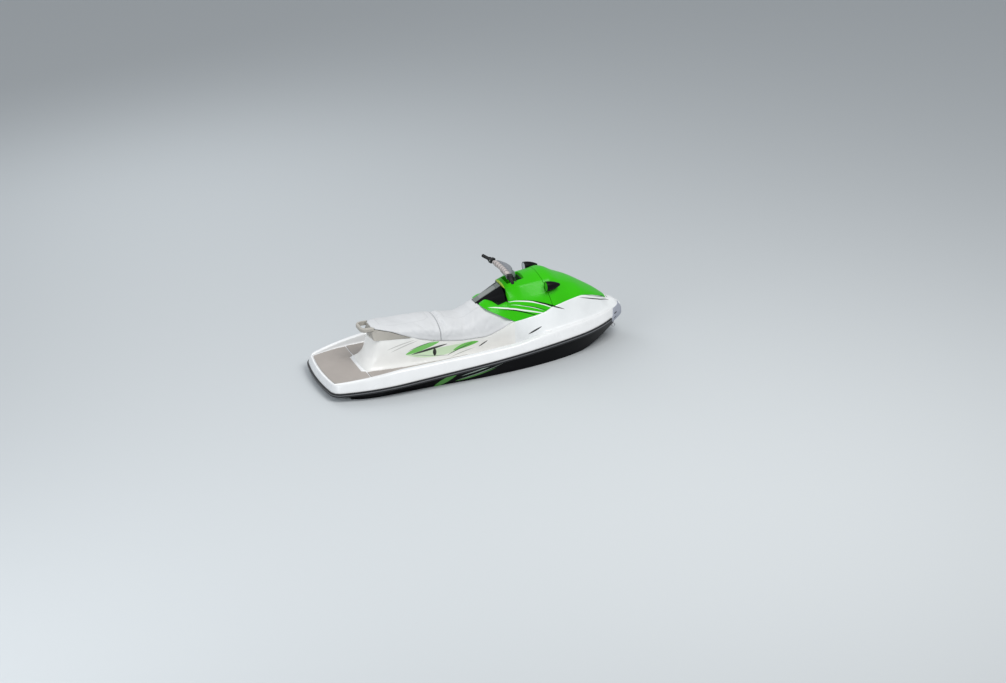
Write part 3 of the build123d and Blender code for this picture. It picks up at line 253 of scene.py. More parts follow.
def joined(name, parts):
    # One object from several meshes
    work = bmesh.new()
    for part in parts:
        work.from_mesh(part.data)
    mesh = bpy.data.meshes.new(name)
    work.to_mesh(mesh)
    work.free()
    for part in parts:
        bpy.data.objects.remove(part)
    return addObject(name, mesh)


def readVectors(source, label):
    flat = np.empty(3 * len(source))
    source.foreach_get(label, flat)
    return flat.reshape(-1, 3)


def getPoints(piece):
    return readVectors(piece.data.vertices, "co")


def getNormals(piece):
    return readVectors(piece.data.vertex_normals, "vector")


def setPoints(piece, points):
    piece.data.vertices.foreach_set("co", points.ravel())
    piece.data.update()


def setAttribute(piece, name, values):
    layer = piece.data.attributes.new(name, "FLOAT", "POINT")
    layer.data.foreach_set("value", values)


clothFrames = 20


def swell(piece, voxel, cap, pressure, hold):
    # Remeshes a closed form evenly and lets cloth pressure fill it out. A point moves by the cap at most,
    # times what hold gives for it: 0 where the form rests on something, 1 where it is free.
    withSettings(piece.modifiers.new("even", "REMESH"), mode="VOXEL", voxel_size=voxel)
    applyModifiers(piece)
    start = getPoints(piece)
    cloth = piece.modifiers.new("filling", "CLOTH")
    withSettings(cloth.settings, use_pressure=True, uniform_pressure_force=pressure)
    cloth.settings.effector_weights.gravity = 0
    withSettings(cloth.point_cache, frame_start=1, frame_end=clothFrames)
    for number in range(1, clothFrames + 1):
        bpy.context.scene.frame_set(number)
    applyModifiers(piece)
    bpy.context.scene.frame_set(1)
    move = getPoints(piece) - start
    size = np.maximum(np.linalg.norm(move, axis=1, keepdims=True), 1e-9)
    setPoints(piece, start + move * np.minimum(1, cap / size) * hold(start)[:, None])
    withSettings(piece.modifiers.new("finer", "SUBSURF"), levels=1, render_levels=1)
    applyModifiers(piece)
    smoothFaces(piece)
    piece.data.update()


def pressLines(piece, lines):
    # Presses soft lines into a surface along its normals. A line is (start, end, depth, half width), and is
    # mirrored in y. The depth falls off as a bell across the line, and as a hump's root along it.
    points, normals = getPoints(piece), getNormals(piece)
    sides = points * np.array([1, 0, 1]) + np.abs(points) * np.array([0, 1, 0])
    depth = np.zeros(len(points))
    for start, end, deep, half in lines:
        start, end = np.array(start, float), np.array(end, float)
        along = end - start
        u = np.clip((sides - start) @ along / (along @ along), 0, 1)
        away = np.linalg.norm(sides - start - u[:, None] * along, axis=1)
        depth += deep * np.exp(-((away / half) ** 2)) * np.sqrt(np.maximum(4 * u * (1 - u), 0.02))
    setPoints(piece, points - normals * depth[:, None])


# Shader node groups

def newGroup(name, inputs, output):
    # A group with one value going out. Three numbers make a vector input, one makes a plain value.
    group = bpy.data.node_groups.new(name, "ShaderNodeTree")
    for label, value in inputs.items():
        kind = "NodeSocketVector" if isinstance(value, tuple) else "NodeSocketFloat"
        group.interface.new_socket(label, in_out="INPUT", socket_type=kind).default_value = value
    group.interface.new_socket(output, in_out="OUTPUT", socket_type="NodeSocketFloat")
    given = group.nodes.new("NodeGroupInput").outputs
    result = group.nodes.new("NodeGroupOutput").inputs[output]
    return group, given, result, partial(mathNode, group)


def feed(tree, socket, value):
    # Links a socket into another, or sets its value
    if isinstance(value, bpy.types.NodeSocket):
        tree.links.new(value, socket)
    else:
        socket.default_value = value


def newNode(tree, kind, inputs, **settings):
    # A node with its settings made first and then its inputs, by label or number, fed
    node = withSettings(tree.nodes.new(kind), **settings)
    for label, value in inputs.items():
        feed(tree, node.inputs[label], value)
    return node


def mathNode(tree, operation, *values, clamp=False):
    inputs = dict(enumerate(values))
    return newNode(tree, "ShaderNodeMath", inputs, operation=operation, use_clamp=clamp).outputs[0]


def vectorNode(tree, operation, *values):
    node = newNode(tree, "ShaderNodeVectorMath", dict(enumerate(values)), operation=operation)
    return node.outputs["Value" if operation == "DOT_PRODUCT" else "Vector"]


def noiseNode(tree, vector, scale, detail=3.0):
    inputs = {"Vector": vector, "Scale": scale, "Detail": detail, "Roughness": 0.55}
    return newNode(tree, "ShaderNodeTexNoise", inputs).outputs["Fac"]


def mixColour(tree, factor, low, high):
    # Inputs 6 and 7 and output 2 are the mix node's colours
    return newNode(tree, "ShaderNodeMix", {0: factor, 6: low, 7: high}, data_type="RGBA").outputs[2]


def makeStripeGroup():
    # A swept stripe with pointed ends. u runs 0 to 1 from start to end and v is the distance across;
    # the middle line bows by 4u(1-u), and the half width follows the same curve to a power under 1.
    group, given, result, calc = newGroup("sweptStripe", {
        "Position": (0, 0, 0), "Start": (0, 0, 0), "Along": (1, 0, 0), "Across": (0, 0, 1), "Bow": 0.0,
        "Half Width": 0.01, "Softness": 0.0015,
    }, "Mask")
    offset = vectorNode(group, "SUBTRACT", given["Position"], given["Start"])
    u = vectorNode(group, "DOT_PRODUCT", offset, given["Along"])
    v = vectorNode(group, "DOT_PRODUCT", offset, given["Across"])
    hump = calc("MULTIPLY", calc("MULTIPLY", u, calc("SUBTRACT", 1.0, u)), 4.0)
    middle = calc("MULTIPLY", hump, given["Bow"])
    wide = calc("MULTIPLY", calc("POWER", calc("MAXIMUM", hump, 0.0), 0.7), given["Half Width"])
    inside = calc("SUBTRACT", wide, calc("ABSOLUTE", calc("SUBTRACT", v, middle)))
    group.links.new(calc("DIVIDE", inside, given["Softness"], clamp=True), result)
    return group


def makeGrainGroup():
    # Moulded pebble grain: small cells, a little larger and smaller from place to place
    group, given, result, calc = newGroup("mouldedGrain", {"Position": (0, 0, 0), "Scale": 400.0}, "Height")
    inputs = {"Vector": given["Position"], "Scale": given["Scale"]}
    cells = newNode(group, "ShaderNodeTexVoronoi", inputs, feature="SMOOTH_F1")
    soft = noiseNode(group, given["Position"], calc("MULTIPLY", given["Scale"], 0.3))
    group.links.new(calc("ADD", cells.outputs["Distance"], calc("MULTIPLY", soft, 0.6)), result)
    return group


def makeFilmGroup():
    # Dried spray: broad cloudy patches with small pale spots, as a mask from 0 to 1
    group, given, result, calc = newGroup("sprayFilm", {"Position": (0, 0, 0), "Amount": 0.3}, "Mask")
    clouds = noiseNode(group, given["Position"], 3.5, 4.0)
    spots = noiseNode(group, given["Position"], 160.0, 1.0)
    broad = calc("MULTIPLY", calc("SUBTRACT", clouds, 0.42), 2.2, clamp=True)
    small = calc("MULTIPLY", calc("SUBTRACT", spots, 0.62), 6.0, clamp=True)
    both = calc("ADD", broad, calc("MULTIPLY", small, 0.5), clamp=True)
    group.links.new(calc("MULTIPLY", both, given["Amount"], clamp=True), result)
    return group


def makeRibGroup():
    # Grooved foam: straight grooves along X, with flat tops between them
    group, given, result, calc = newGroup("groovedFoam", {"Position": (0, 0, 0), "Pitch": 0.016}, "Height")
    split = newNode(group, "ShaderNodeSeparateXYZ", {0: given["Position"]})
    across = calc("DIVIDE", split.outputs["Y"], given["Pitch"])
    wave = calc("ABSOLUTE", calc("SINE", calc("MULTIPLY", across, math.pi)))
    group.links.new(calc("MINIMUM", calc("MULTIPLY", wave, 2.5), 1.0), result)
    return group


def makePanelGroup():
    # A panel between two values of X, over a sloping lower line and under a level upper one, on both sides
    group, given, result, calc = newGroup("edgedPanel", {
        "Position": (0, 0, 0), "Aft X": 0.0, "Fore X": 1.0, "Low Z": 0.0, "Slope": 0.0, "High Z": 1.0,
        "Half Y": 1.0, "Softness": 0.002,
    }, "Mask")
    split = newNode(group, "ShaderNodeSeparateXYZ", {0: given["Position"]})
    x, y, z = split.outputs
    ahead = calc("SUBTRACT", x, given["Aft X"])
    line = calc("ADD", given["Low Z"], calc("MULTIPLY", ahead, given["Slope"]))
    inside = ahead
    for distance in (
        calc("SUBTRACT", given["Fore X"], x), calc("SUBTRACT", z, line), calc("SUBTRACT", given["High Z"], z),
        calc("SUBTRACT", given["Half Y"], calc("ABSOLUTE", y)),
    ):
        inside = calc("MINIMUM", inside, distance)
    group.links.new(calc("DIVIDE", inside, given["Softness"], clamp=True), result)
    return group


stripeGroup, panelGroup = makeStripeGroup(), makePanelGroup()
grainGroup, filmGroup, ribGroup = makeGrainGroup(), makeFilmGroup(), makeRibGroup()


def placeGroup(tree, group, values):
    # Adds a group's node with its inputs fed, and gives its one output
    return newNode(tree, "ShaderNodeGroup", values, node_tree=group).outputs[0]


# Materials

finishes = {
    # colour, roughness, metallic, coat, specular, grain scale, grain depth (mm), spray film, film colour
    "hullBlack": ((0.002, 0.002, 0.003), 0.30, 0.0, 0.0, 0.10, 900.0, 0.01, 0.03, (0.03, 0.035, 0.035)),
    "deckWhite": ((0.80, 0.81, 0.82), 0.26, 0.0, 0.35, 0.45, 900.0, 0.01, 0.18, (0.72, 0.73, 0.72)),
    # The next two are lighter than the deck's white: painted light for the brighter light on the pedestal and
    # on the fore deck. Each also carries its own graphics.
    "pedestalLitWhite": ((0.86, 0.86, 0.84), 0.30, 0.0, 0.25, 0.45, 900.0, 0.01, 0.25, (0.70, 0.70, 0.67)),
    "foreLitWhite": ((0.82, 0.84, 0.85), 0.24, 0.0, 0.35, 0.45, 900.0, 0.01, 0.12, (0.74, 0.75, 0.74)),
    "cowlGreen": ((0.034, 0.49, 0.003), 0.32, 0.0, 0.05, 0.14, 900.0, 0.01, 0.05, (0.07, 0.54, 0.02)),
    "railBlack": ((0.010, 0.010, 0.012), 0.50, 0.0, 0.0, 0.40, 700.0, 0.06, 0.15, (0.05, 0.05, 0.06)),
    "bumperGrey": ((0.33, 0.35, 0.41), 0.50, 0.0, 0.0, 0.40, 700.0, 0.06, 0.20, (0.42, 0.43, 0.47)),
    "consoleBlack": ((0.003, 0.003, 0.004), 0.42, 0.0, 0.0, 0.12, 600.0, 0.05, 0.08, (0.02, 0.02, 0.025)),
    "consoleRidge": ((0.003, 0.003, 0.004), 0.42, 0.0, 0.0, 0.12, 600.0, 0.05, 0.08, (0.02, 0.02, 0.025)),
    "consoleGrey": ((0.20, 0.22, 0.21), 0.48, 0.0, 0.0, 0.40, 600.0, 0.05, 0.15, (0.28, 0.29, 0.28)),
    "plainBlack": ((0.010, 0.010, 0.011), 0.48, 0.0, 0.0, 0.28, 600.0, 0.05, 0.10, (0.03, 0.03, 0.035)),
    "shroudGrey": ((0.175, 0.205, 0.215), 0.45, 0.0, 0.0, 0.40, 600.0, 0.05, 0.15, (0.30, 0.32, 0.32)),
    # the rail insert's grey: partly its own colour, partly a painted highlight along the rail
    "insertHighlightGrey": ((0.150, 0.155, 0.165), 0.46, 0.0, 0.0, 0.35, 600.0, 0.05, 0.15, (0.11, 0.11, 0.11)),
    "trimGrey": ((0.42, 0.40, 0.36), 0.48, 0.0, 0.0, 0.40, 600.0, 0.05, 0.15, (0.48, 0.46, 0.44)),
    "seatVinyl": ((0.62, 0.63, 0.645), 0.50, 0.0, 0.0, 0.40, 420.0, 0.12, 0.25, (0.72, 0.725, 0.73)),
    "padVinyl": ((0.19, 0.205, 0.225), 0.55, 0.0, 0.0, 0.35, 420.0, 0.12, 0.12, (0.32, 0.32, 0.33)),
    "matFoam": ((0.43, 0.395, 0.37), 0.85, 0.0, 0.0, 0.30, 500.0, 0.10, 0.30, (0.52, 0.48, 0.45)),
    "gripRubber": ((0.010, 0.010, 0.011), 0.62, 0.0, 0.0, 0.35, 800.0, 0.08, 0.10, (0.04, 0.04, 0.04)),
    "castAlloy": ((0.50, 0.50, 0.51), 0.42, 0.9, 0.0, 0.50, 350.0, 0.08, 0.25, (0.34, 0.34, 0.34)),
    "brightSteel": ((0.62, 0.62, 0.63), 0.26, 1.0, 0.0, 0.50, 900.0, 0.01, 0.10, (0.45, 0.44, 0.42)),
    "engineMetal": ((0.10, 0.10, 0.11), 0.50, 0.7, 0.0, 0.50, 350.0, 0.08, 0.20, (0.14, 0.13, 0.12)),
    "mirrorGlass": ((0.50, 0.54, 0.56), 0.05, 1.0, 0.0, 0.50, 900.0, 0.0, 0.05, (0.45, 0.47, 0.49)),
    "screenGlass": ((0.010, 0.014, 0.016), 0.06, 0.0, 0.0, 0.50, 900.0, 0.0, 0.03, (0.05, 0.05, 0.06)),
}
slotFinish = {
    "hull_black": "hullBlack", "deck_white": "deckWhite", "cowl_green": "cowlGreen",
    "rail_black": "railBlack", "bumper_grey": "bumperGrey", "console_black": "consoleBlack",
    "console_grey": "consoleGrey", "plain_black": "plainBlack", "trim_grey": "trimGrey",
    "seat_vinyl": "seatVinyl", "pad_vinyl": "padVinyl", "mat_foam": "matFoam", "grip_rubber": "gripRubber",
    "cast_alloy": "castAlloy", "steel": "brightSteel", "engine_metal": "engineMetal", "mirror": "mirrorGlass",
}
graphicColours = {
    "white": (0.82, 0.84, 0.82, 1), "black": (0.004, 0.006, 0.005, 1), "green": (0.13, 0.52, 0.07, 1),
    "paleGreen": (0.62, 0.79, 0.55, 1), "deepGreen": (0.012, 0.075, 0.018, 1), "grey": (0.30, 0.33, 0.30, 1),
    "shade": (0.56, 0.56, 0.54, 1), "muted": (0.045, 0.115, 0.050, 1), "leaf": (0.11, 0.33, 0.08, 1),
    "limeRimHighlight": (0.42, 0.60, 0.06, 1), "ridge": (0.165, 0.185, 0.175, 1), "panel": (0.003, 0.003, 0.004, 1),
    "pale": (0.50, 0.60, 0.52, 1), "lumps": (0.48, 0.43, 0.41, 1),
}
stripeTables = {
    # colour, start x, start z, end x, end z, bow across, half width
    "cowlGreen": [
        ("white", 0.270, 0.622, 0.800, 0.484, 0.056, 0.0065),
        ("black", 0.500, 0.630, 0.860, 0.496, 0.010, 0.0085),
        ("black", 0.390, 0.636, 0.640, 0.590, 0.012, 0.0035),
        ("white", 0.090, 0.588, 0.700, 0.476, 0.016, 0.0080),
        ("white", 0.300, 0.598, 0.640, 0.516, 0.018, 0.0035),
        ("black", 0.190, 0.562, 0.600, 0.460, 0.022, 0.0065),
        ("deepGreen", 0.400, 0.590, 0.700, 0.500, 0.014, 0.0045),
        # painted shade: a darker green band along the cowl's lower edge towards the nose
        ("deepGreen", 1.080, 0.584, 1.435, 0.425, 0.010, 0.0045),
    ],
    "foreLitWhite": [
        ("black", 0.500, 0.630, 0.860, 0.496, 0.010, 0.0085),
        # a slanted slot drawn as a dark mark: painted shade in place of the slot's recess
        ("black", 0.448, 0.306, 0.590, 0.378, 0.000, 0.0085),
        # painted shadow: a dark line and a thinner dark green one under the hood's edge towards the nose,
        # along the gap between hood and fore deck
        ("black", 1.030, 0.575, 1.470, 0.385, 0.008, 0.0055),
        ("deepGreen", 1.120, 0.566, 1.440, 0.415, 0.010, 0.0030),
    ],
    "pedestalLitWhite": [
        ("paleGreen", -0.800, 0.264, -0.130, 0.296, -0.032, 0.042),
        ("green", -0.800, 0.264, -0.452, 0.352, 0.006, 0.025),
        ("deepGreen", -0.785, 0.290, -0.486, 0.366, 0.010, 0.0040),
        ("black", -0.745, 0.258, -0.370, 0.318, 0.000, 0.0120),
        # a slot drawn as a grey line: painted shade in place of the slot's recess
        ("grey", -0.790, 0.266, -0.350, 0.198, -0.006, 0.0040),
        ("black", -0.505, 0.292, -0.509, 0.212, 0.000, 0.0190),
        ("green", -0.320, 0.240, -0.050, 0.292, 0.010, 0.0230),
        ("deepGreen", -0.390, 0.198, -0.110, 0.292, 0.004, 0.0055),
        # two slots drawn as a grey and a black line: painted shade in place of the slots' recesses
        ("grey", -0.360, 0.176, -0.090, 0.236, 0.004, 0.0035),
        ("black", -0.056, 0.236, 0.046, 0.286, 0.000, 0.0070),
        ("shade", -0.980, 0.326, -0.690, 0.406, 0.006, 0.0065),
        ("shade", -0.945, 0.300, -0.660, 0.396, 0.006, 0.0065),
    ],
    "hullBlack": [
        ("muted", -0.430, 0.100, 0.200, 0.189, 0.002, 0.0240),
        ("leaf", -0.400, 0.020, 0.040, 0.092, -0.010, 0.0080),
        ("leaf", -0.620, -0.008, -0.372, 0.104, 0.002, 0.0280),
        ("pale", -0.340, 0.068, 0.090, 0.148, -0.002, 0.0060),
        ("pale", -0.400, 0.028, 0.130, 0.132, -0.012, 0.0035),
    ],
}
panelTables = {
    # colour, aft x, fore x, low z, slope, high z, half y
    "cowlGreen": [
        ("panel", 0.135, 0.2020, 0.636, -0.62, 0.738, 0.26),
        ("panel", 0.200, 0.3020, 0.595, 0.26, 0.738, 0.26),
        ("white", 1.422, 1.6000, 0.000, 0.00, 1.000, 0.26),
        # painted highlight: a bright lime band along the aft arch's rim
        ("limeRimHighlight", 0.240, 0.2995, 0.738, 0.00, 0.900, 0.26),
    ],
    "consoleRidge": [("ridge", 0.0, 0.50, 0.0, 0.0, 1.0, 0.046)],
    "padVinyl": [("lumps", 0.0, 0.335, 0.0, 0.0, 2.0, 0.30)],
}
clothLooks = {
    # softness of painted edges (m) and share of the seams' shade; only cloth has seams and sheen
    "padVinyl": {"edge": 0.02, "seam": 0.75}, "seatVinyl": {"edge": 0.002, "seam": 0.12},
}
seamShade, clothSheen, coatRoughness, filmRoughness = (0.12, 0.12, 0.13, 1), 0.15, 0.06, 0.35
mottle = {"shares": (0.90, 1.07), "scale": 5.0}  # how dark and light the base colour gets, and its patches
foamLook = {"pitch": 0.016, "grain": 0.1, "grooves": 8.0}
bumpStrength = 0.8


def paintMarks(tree, base, name, place):
    # Lays the finish's stripes and panels over its base colour, in the order of their tables
    for tint, startX, startZ, endX, endZ, bow, halfWidth in stripeTables.get(name, []):
        run = math.hypot(endX - startX, endZ - startZ)
        unitX, unitZ = (endX - startX) / run, (endZ - startZ) / run
        mask = placeGroup(tree, stripeGroup, {
            "Position": place, "Start": (startX, 0, startZ), "Along": (unitX / run, 0, unitZ / run),
            "Across": (-unitZ, 0, unitX), "Bow": bow, "Half Width": halfWidth,
        })
        base = mixColour(tree, mask, base, graphicColours[tint])
    softness = clothLooks.get(name, {"edge": 0.002})["edge"]
    for tint, aftX, foreX, lowZ, slope, highZ, halfY in panelTables.get(name, []):
        mask = placeGroup(tree, panelGroup, {
            "Position": place, "Aft X": aftX, "Fore X": foreX, "Low Z": lowZ, "Slope": slope, "High Z": highZ,
            "Half Y": halfY, "Softness": softness,
        })
        base = mixColour(tree, mask, base, graphicColours[tint])
    return base


def makeFinish(name):
    colour, roughness, metallic, coat, specular, scale, depth, film, filmColour = finishes[name]
    material = bpy.data.materials.new(name)
    material.use_nodes = True
    tree = material.node_tree
    shader = tree.nodes["Principled BSDF"]
    calc = partial(mathNode, tree)
    place = tree.nodes.new("ShaderNodeTexCoord").outputs["Object"]
    darker, lighter = (tuple(min(c * share, 1) for c in colour) + (1,) for share in mottle["shares"])
    base = mixColour(tree, noiseNode(tree, place, mottle["scale"]), darker, lighter)
    base = paintMarks(tree, base, name, place)
    if name in clothLooks:
        seam = newNode(tree, "ShaderNodeAttribute", {}, attribute_name="seam")
        shade = calc("MULTIPLY", seam.outputs["Fac"], clothLooks[name]["seam"], clamp=True)
        base = mixColour(tree, shade, base, seamShade)
        shader.inputs["Sheen Weight"].default_value = clothSheen
    spray = placeGroup(tree, filmGroup, {"Position": place, "Amount": film})
    feed(tree, shader.inputs["Base Color"], mixColour(tree, spray, base, filmColour + (1,)))
    rough = calc("ADD", calc("MULTIPLY", spray, filmRoughness), roughness, clamp=True)
    feed(tree, shader.inputs["Roughness"], rough)
    for label, value in (
        ("Metallic", metallic), ("Coat Weight", coat), ("Specular IOR Level", specular),
        ("Coat Roughness", coatRoughness),
    ):
        shader.inputs[label].default_value = value
    height = placeGroup(tree, grainGroup, {"Position": place, "Scale": scale})
    if name == "matFoam":
        ribs = placeGroup(tree, ribGroup, {"Position": place, "Pitch": foamLook["pitch"]})
        grain = calc("MULTIPLY", height, foamLook["grain"])
        height = calc("ADD", grain, calc("MULTIPLY", ribs, foamLook["grooves"]))
    if depth:
        inputs = {"Distance": depth / 1000, "Strength": bumpStrength, "Height": height}
        bump = newNode(tree, "ShaderNodeBump", inputs)
        feed(tree, shader.inputs["Normal"], bump.outputs["Normal"])
    return material


materials = {name: makeFinish(name) for name in finishes}
print("materials made:", len(materials))


def dress(piece, slot, body="root", replaces=(), finish=None):
    piece.data.materials.clear()
    piece.data.materials.append(materials[finish or slotFinish[slot]])
    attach(piece, body)
    if replaces:
        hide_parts(*replaces)
    return piece


# Camera

photoView = {
    "azimuth": -21.705, "elevation": 24.278, "roll": -1.102, "distance": 20.0,
    "right": 0.293, "up": 0.151, "pixelFocal": 1985.0, "pixelWidth": 1006.0, "sensor": 36.0,
}


def makeCamera():
    turn, tip, roll = (math.radians(photoView[key]) for key in ("azimuth", "elevation", "roll"))
    look = Vector((-math.sin(turn) * math.cos(tip), math.cos(turn) * math.cos(tip), -math.sin(tip)))
    level = Vector((math.cos(turn), math.sin(turn), 0))
    above = level.cross(look)
    right = level * math.cos(roll) + above * math.sin(roll)
    up = above * math.cos(roll) - level * math.sin(roll)
    place = right * photoView["right"] + up * photoView["up"] - look * photoView["distance"]
    data = bpy.data.cameras.new("photoCamera")
    data.sensor_width = photoView["sensor"]
    data.lens = photoView["pixelFocal"] / photoView["pixelWidth"] * photoView["sensor"]
    data.clip_end = 200
    camera = addObject("photoCamera", data)
    camera.matrix_world = Matrix([(right[i], up[i], -look[i], place[i]) for i in range(3)] + [(0, 0, 0, 1)])
    bpy.context.scene.camera = camera


makeCamera()

# Plan outline and heights shared by the deck's pieces

plan = {
    "bowX": 1.600, "sternX": -1.650, "beamHalf": 0.572, "sideAftX": -0.900, "foreRadius": 6.0,
    "foreTurn": 11.5, "shoulderRadius": 1.150, "shoulderTurn": 45.0, "aftRadius": 1.900,
    "sternRadius": 2.400, "sternCorner": 0.130,
}
sheer = {"midZ": 0.162, "angle": math.radians(3.55)}
gunwaleLine = [
    (-1.690, 0.148), (-1.350, 0.196), (-0.950, 0.248), (-0.400, 0.266), (0.300, 0.290), (0.950, 0.348),
    (1.660, 0.338),
]


def polar(centre, radius, angle):
    turn = math.radians(angle)
    return (centre[0] + radius * math.cos(turn), centre[1] + radius * math.sin(turn))


def planArcs():
    # Port half of the outline from bow to stern, as arcs that run into each other without a corner:
    # centre, radius, first and last angle
    shoulderAngle = 90 - plan["foreTurn"]
    noseAngle = 90 - plan["shoulderTurn"]
    fore = (0.0, plan["beamHalf"] - plan["foreRadius"])
    join = polar(fore, plan["foreRadius"], shoulderAngle)
    shoulder = polar(join, -plan["shoulderRadius"], shoulderAngle)
    tip = polar(shoulder, plan["shoulderRadius"], noseAngle)
    noseRadius = tip[1] / math.sin(math.radians(noseAngle))
    nose = polar(tip, -noseRadius, noseAngle)
    shift = plan["bowX"] - (nose[0] + noseRadius)
    aft = (plan["sideAftX"], plan["beamHalf"] - plan["aftRadius"])
    stern = (plan["sternX"] + plan["sternRadius"], 0.0)
    reachAft = plan["aftRadius"] - plan["sternCorner"]
    reachStern = plan["sternRadius"] - plan["sternCorner"]
    gap = math.dist(aft, stern)
    along = (reachAft**2 - reachStern**2 + gap**2) / (2 * gap)
    across = math.sqrt(reachAft**2 - along**2)
    unit = ((stern[0] - aft[0]) / gap, (stern[1] - aft[1]) / gap)
    corner = (aft[0] + unit[0] * along - unit[1] * across, aft[1] + unit[1] * along + unit[0] * across)
    aftEnd = math.degrees(math.atan2(corner[1] - aft[1], corner[0] - aft[0]))
    sternStart = math.degrees(math.atan2(corner[1] - stern[1], corner[0] - stern[0]))
    return [
        ((nose[0] + shift, nose[1]), noseRadius, 0.0, noseAngle),
        ((shoulder[0] + shift, shoulder[1]), plan["shoulderRadius"], noseAngle, shoulderAngle),
        ((fore[0] + shift, fore[1]), plan["foreRadius"], shoulderAngle, 90.0),
        (aft, plan["aftRadius"], 90.0, aftEnd),
        (corner, plan["sternCorner"], aftEnd, sternStart),
        (stern, plan["sternRadius"], sternStart, 180.0),
    ]


def planLoop(spacing=0.02):
    # Points and outward normals round the whole outline, from the bow along the port side and back
    points, normals = [], []
    for centre, radius, first, last in planArcs():
        count = max(4, int(radius * math.radians(last - first) / spacing), int((last - first) / 6))
        turn = np.radians(np.linspace(first, last, count + 1))
        facing = np.c_[np.cos(turn), np.sin(turn)]
        arc = np.array(centre) + radius * facing
        gap = np.linalg.norm(points[-1][-1] - arc[0]) if points else 0.0
        if gap > spacing:
            fill = np.linspace(points[-1][-1], arc[0], max(3, int(gap / spacing)))
            points.append(fill[1:-1])
            normals.append(np.repeat(facing[:1], len(fill) - 2, 0))
        keep = slice(1, None) if points and np.linalg.norm(points[-1][-1] - arc[0]) < 1e-6 else slice(None)
        points.append(arc[keep])
        normals.append(facing[keep])
    port, facing = np.concatenate(points), np.concatenate(normals)
    return tuple(np.concatenate([side, side[1:-1][::-1] * np.array([1, -1])]) for side in (port, facing))


def halfBeam(x, grow=0.0):
    for centre, radius, first, last in planArcs():
        size = radius + grow
        if polar(centre, size, last)[0] <= x <= polar(centre, size, first)[0]:
            return centre[1] + math.sqrt(size**2 - (x - centre[0]) ** 2)
    return plan["beamHalf"] + grow


def onSheer(place, lift):
    # Plan points on the sheer plane, lifted along its normal
    sine, cosine = math.sin(sheer["angle"]), math.cos(sheer["angle"])
    lift = np.broadcast_to(lift, place.shape[:1])
    return np.stack([
        place[:, 0] * cosine - lift * sine, place[:, 1], sheer["midZ"] + place[:, 0] * sine + lift * cosine,
    ], 1)


def sheerHeight(x):
    return sheer["midZ"] + np.asarray(x) * math.tan(sheer["angle"])


def gunwaleHeight(x):
    # Three parabolas, each through three points of the gunwale's line
    x = np.asarray(x, float)
    height = np.zeros_like(x)
    for first in (0, 2, 4):
        three = np.array(gunwaleLine[first:first + 3])
        curve = np.polyfit(three[:, 0], three[:, 1], 2)
        inside = (x >= three[0, 0]) if first else np.ones(x.shape, bool)
        height = np.where(inside, np.polyval(curve, x), height)
    return height


deckShape = {
    "flange": 0.030, "bandHeight": 0.160, "bandInset": 0.052, "gunwale": 0.044, "wellShift": 0.052,
    "floorZ": 0.150, "bendX": -0.800, "footwellFront": 0.400, "rampX": 0.600, "rampZ": 0.312, "skin": 0.014,
    "spineAft": -1.20, "spineFore": 1.30, "tuck": 0.002,
    "setbacks": (0, 0.002, 0.008, 0.020, 0.016, 0.030, 0),
}


def floorHeight(x):
    d = deckShape
    front = float(sheerHeight(d["footwellFront"])) + d["skin"]
    return np.interp(x, [d["bendX"], d["footwellFront"], d["rampX"]], [d["floorZ"], front, d["rampZ"]])


def makeDeck():
    # The profile runs from the centreline below, out to the flange, up the band, over the gunwale, down into
    # the footwell and back to the centreline, and is carried round the plan outline
    d = deckShape
    place, facing = planLoop()
    edge = onSheer(place, 0.0)
    top = onSheer(place, d["flange"])
    lift = (gunwaleHeight(edge[:, 0]) - sheerHeight(edge[:, 0])) * math.cos(sheer["angle"])
    inset = d["bandInset"] * (lift - d["flange"]) / (d["bandHeight"] - d["flange"])
    outer = onSheer(place - facing * inset[:, None], lift)
    inner = place - facing * (d["bandInset"] + d["gunwale"])
    inner = np.c_[inner[:, 0] - d["wellShift"], inner[:, 1]]
    rimZ = gunwaleHeight(inner[:, 0])
    rim = np.c_[inner, rimZ]
    tuck = rimZ - d["tuck"]
    wellZ = np.where(inner[:, 0] < d["rampX"], np.minimum(floorHeight(inner[:, 0]), tuck), tuck)
    wall = np.c_[inner, wellZ]
    spineX = np.clip(inner[:, 0], d["spineAft"], d["spineFore"])
    spineZ = np.where(spineX < d["rampX"], floorHeight(spineX), gunwaleHeight(spineX) - d["tuck"])
    spine = np.c_[spineX, np.zeros_like(spineX), spineZ]
    under = np.c_[spineX, np.zeros_like(spineX), sheerHeight(spineX)]
    corners = np.stack([under, edge, top, outer, rim, wall, spine])
    grid = roundCorners(corners, d["setbacks"], closed=False, steps=6)
    return gridMesh("deck_shell", grid, along=True, angle=40)


deckPiece = makeDeck()
print("deck made")

# Cowl, hood and fore deck

cowlRows = [
    # x, half width and height of the edge, of the flank and of the shoulder, top height
    (0.040, 0.236, 0.520, 0.160, 0.572, 0.088, 0.600, 0.606),
    (0.110, 0.252, 0.500, 0.178, 0.592, 0.096, 0.634, 0.640),
    (0.186, 0.264, 0.480, 0.206, 0.574, 0.150, 0.612, 0.624),
    (0.262, 0.276, 0.450, 0.224, 0.584, 0.180, 0.622, 0.640),
    (0.292, 0.282, 0.430, 0.212, 0.656, 0.112, 0.750, 0.764),
    (0.450, 0.313, 0.462, 0.268, 0.610, 0.172, 0.766, 0.798),
    (0.640, 0.332, 0.505, 0.288, 0.650, 0.176, 0.784, 0.830),
    (0.745, 0.333, 0.552, 0.292, 0.676, 0.182, 0.800, 0.838),
    (0.900, 0.302, 0.574, 0.262, 0.662, 0.172, 0.735, 0.766),
    (1.040, 0.266, 0.584, 0.226, 0.642, 0.146, 0.680, 0.702),
    (1.180, 0.215, 0.549, 0.182, 0.580, 0.118, 0.602, 0.619),
    (1.320, 0.140, 0.487, 0.118, 0.503, 0.078, 0.517, 0.528),
    (1.440, 0.052, 0.414, 0.044, 0.421, 0.030, 0.428, 0.432),
]
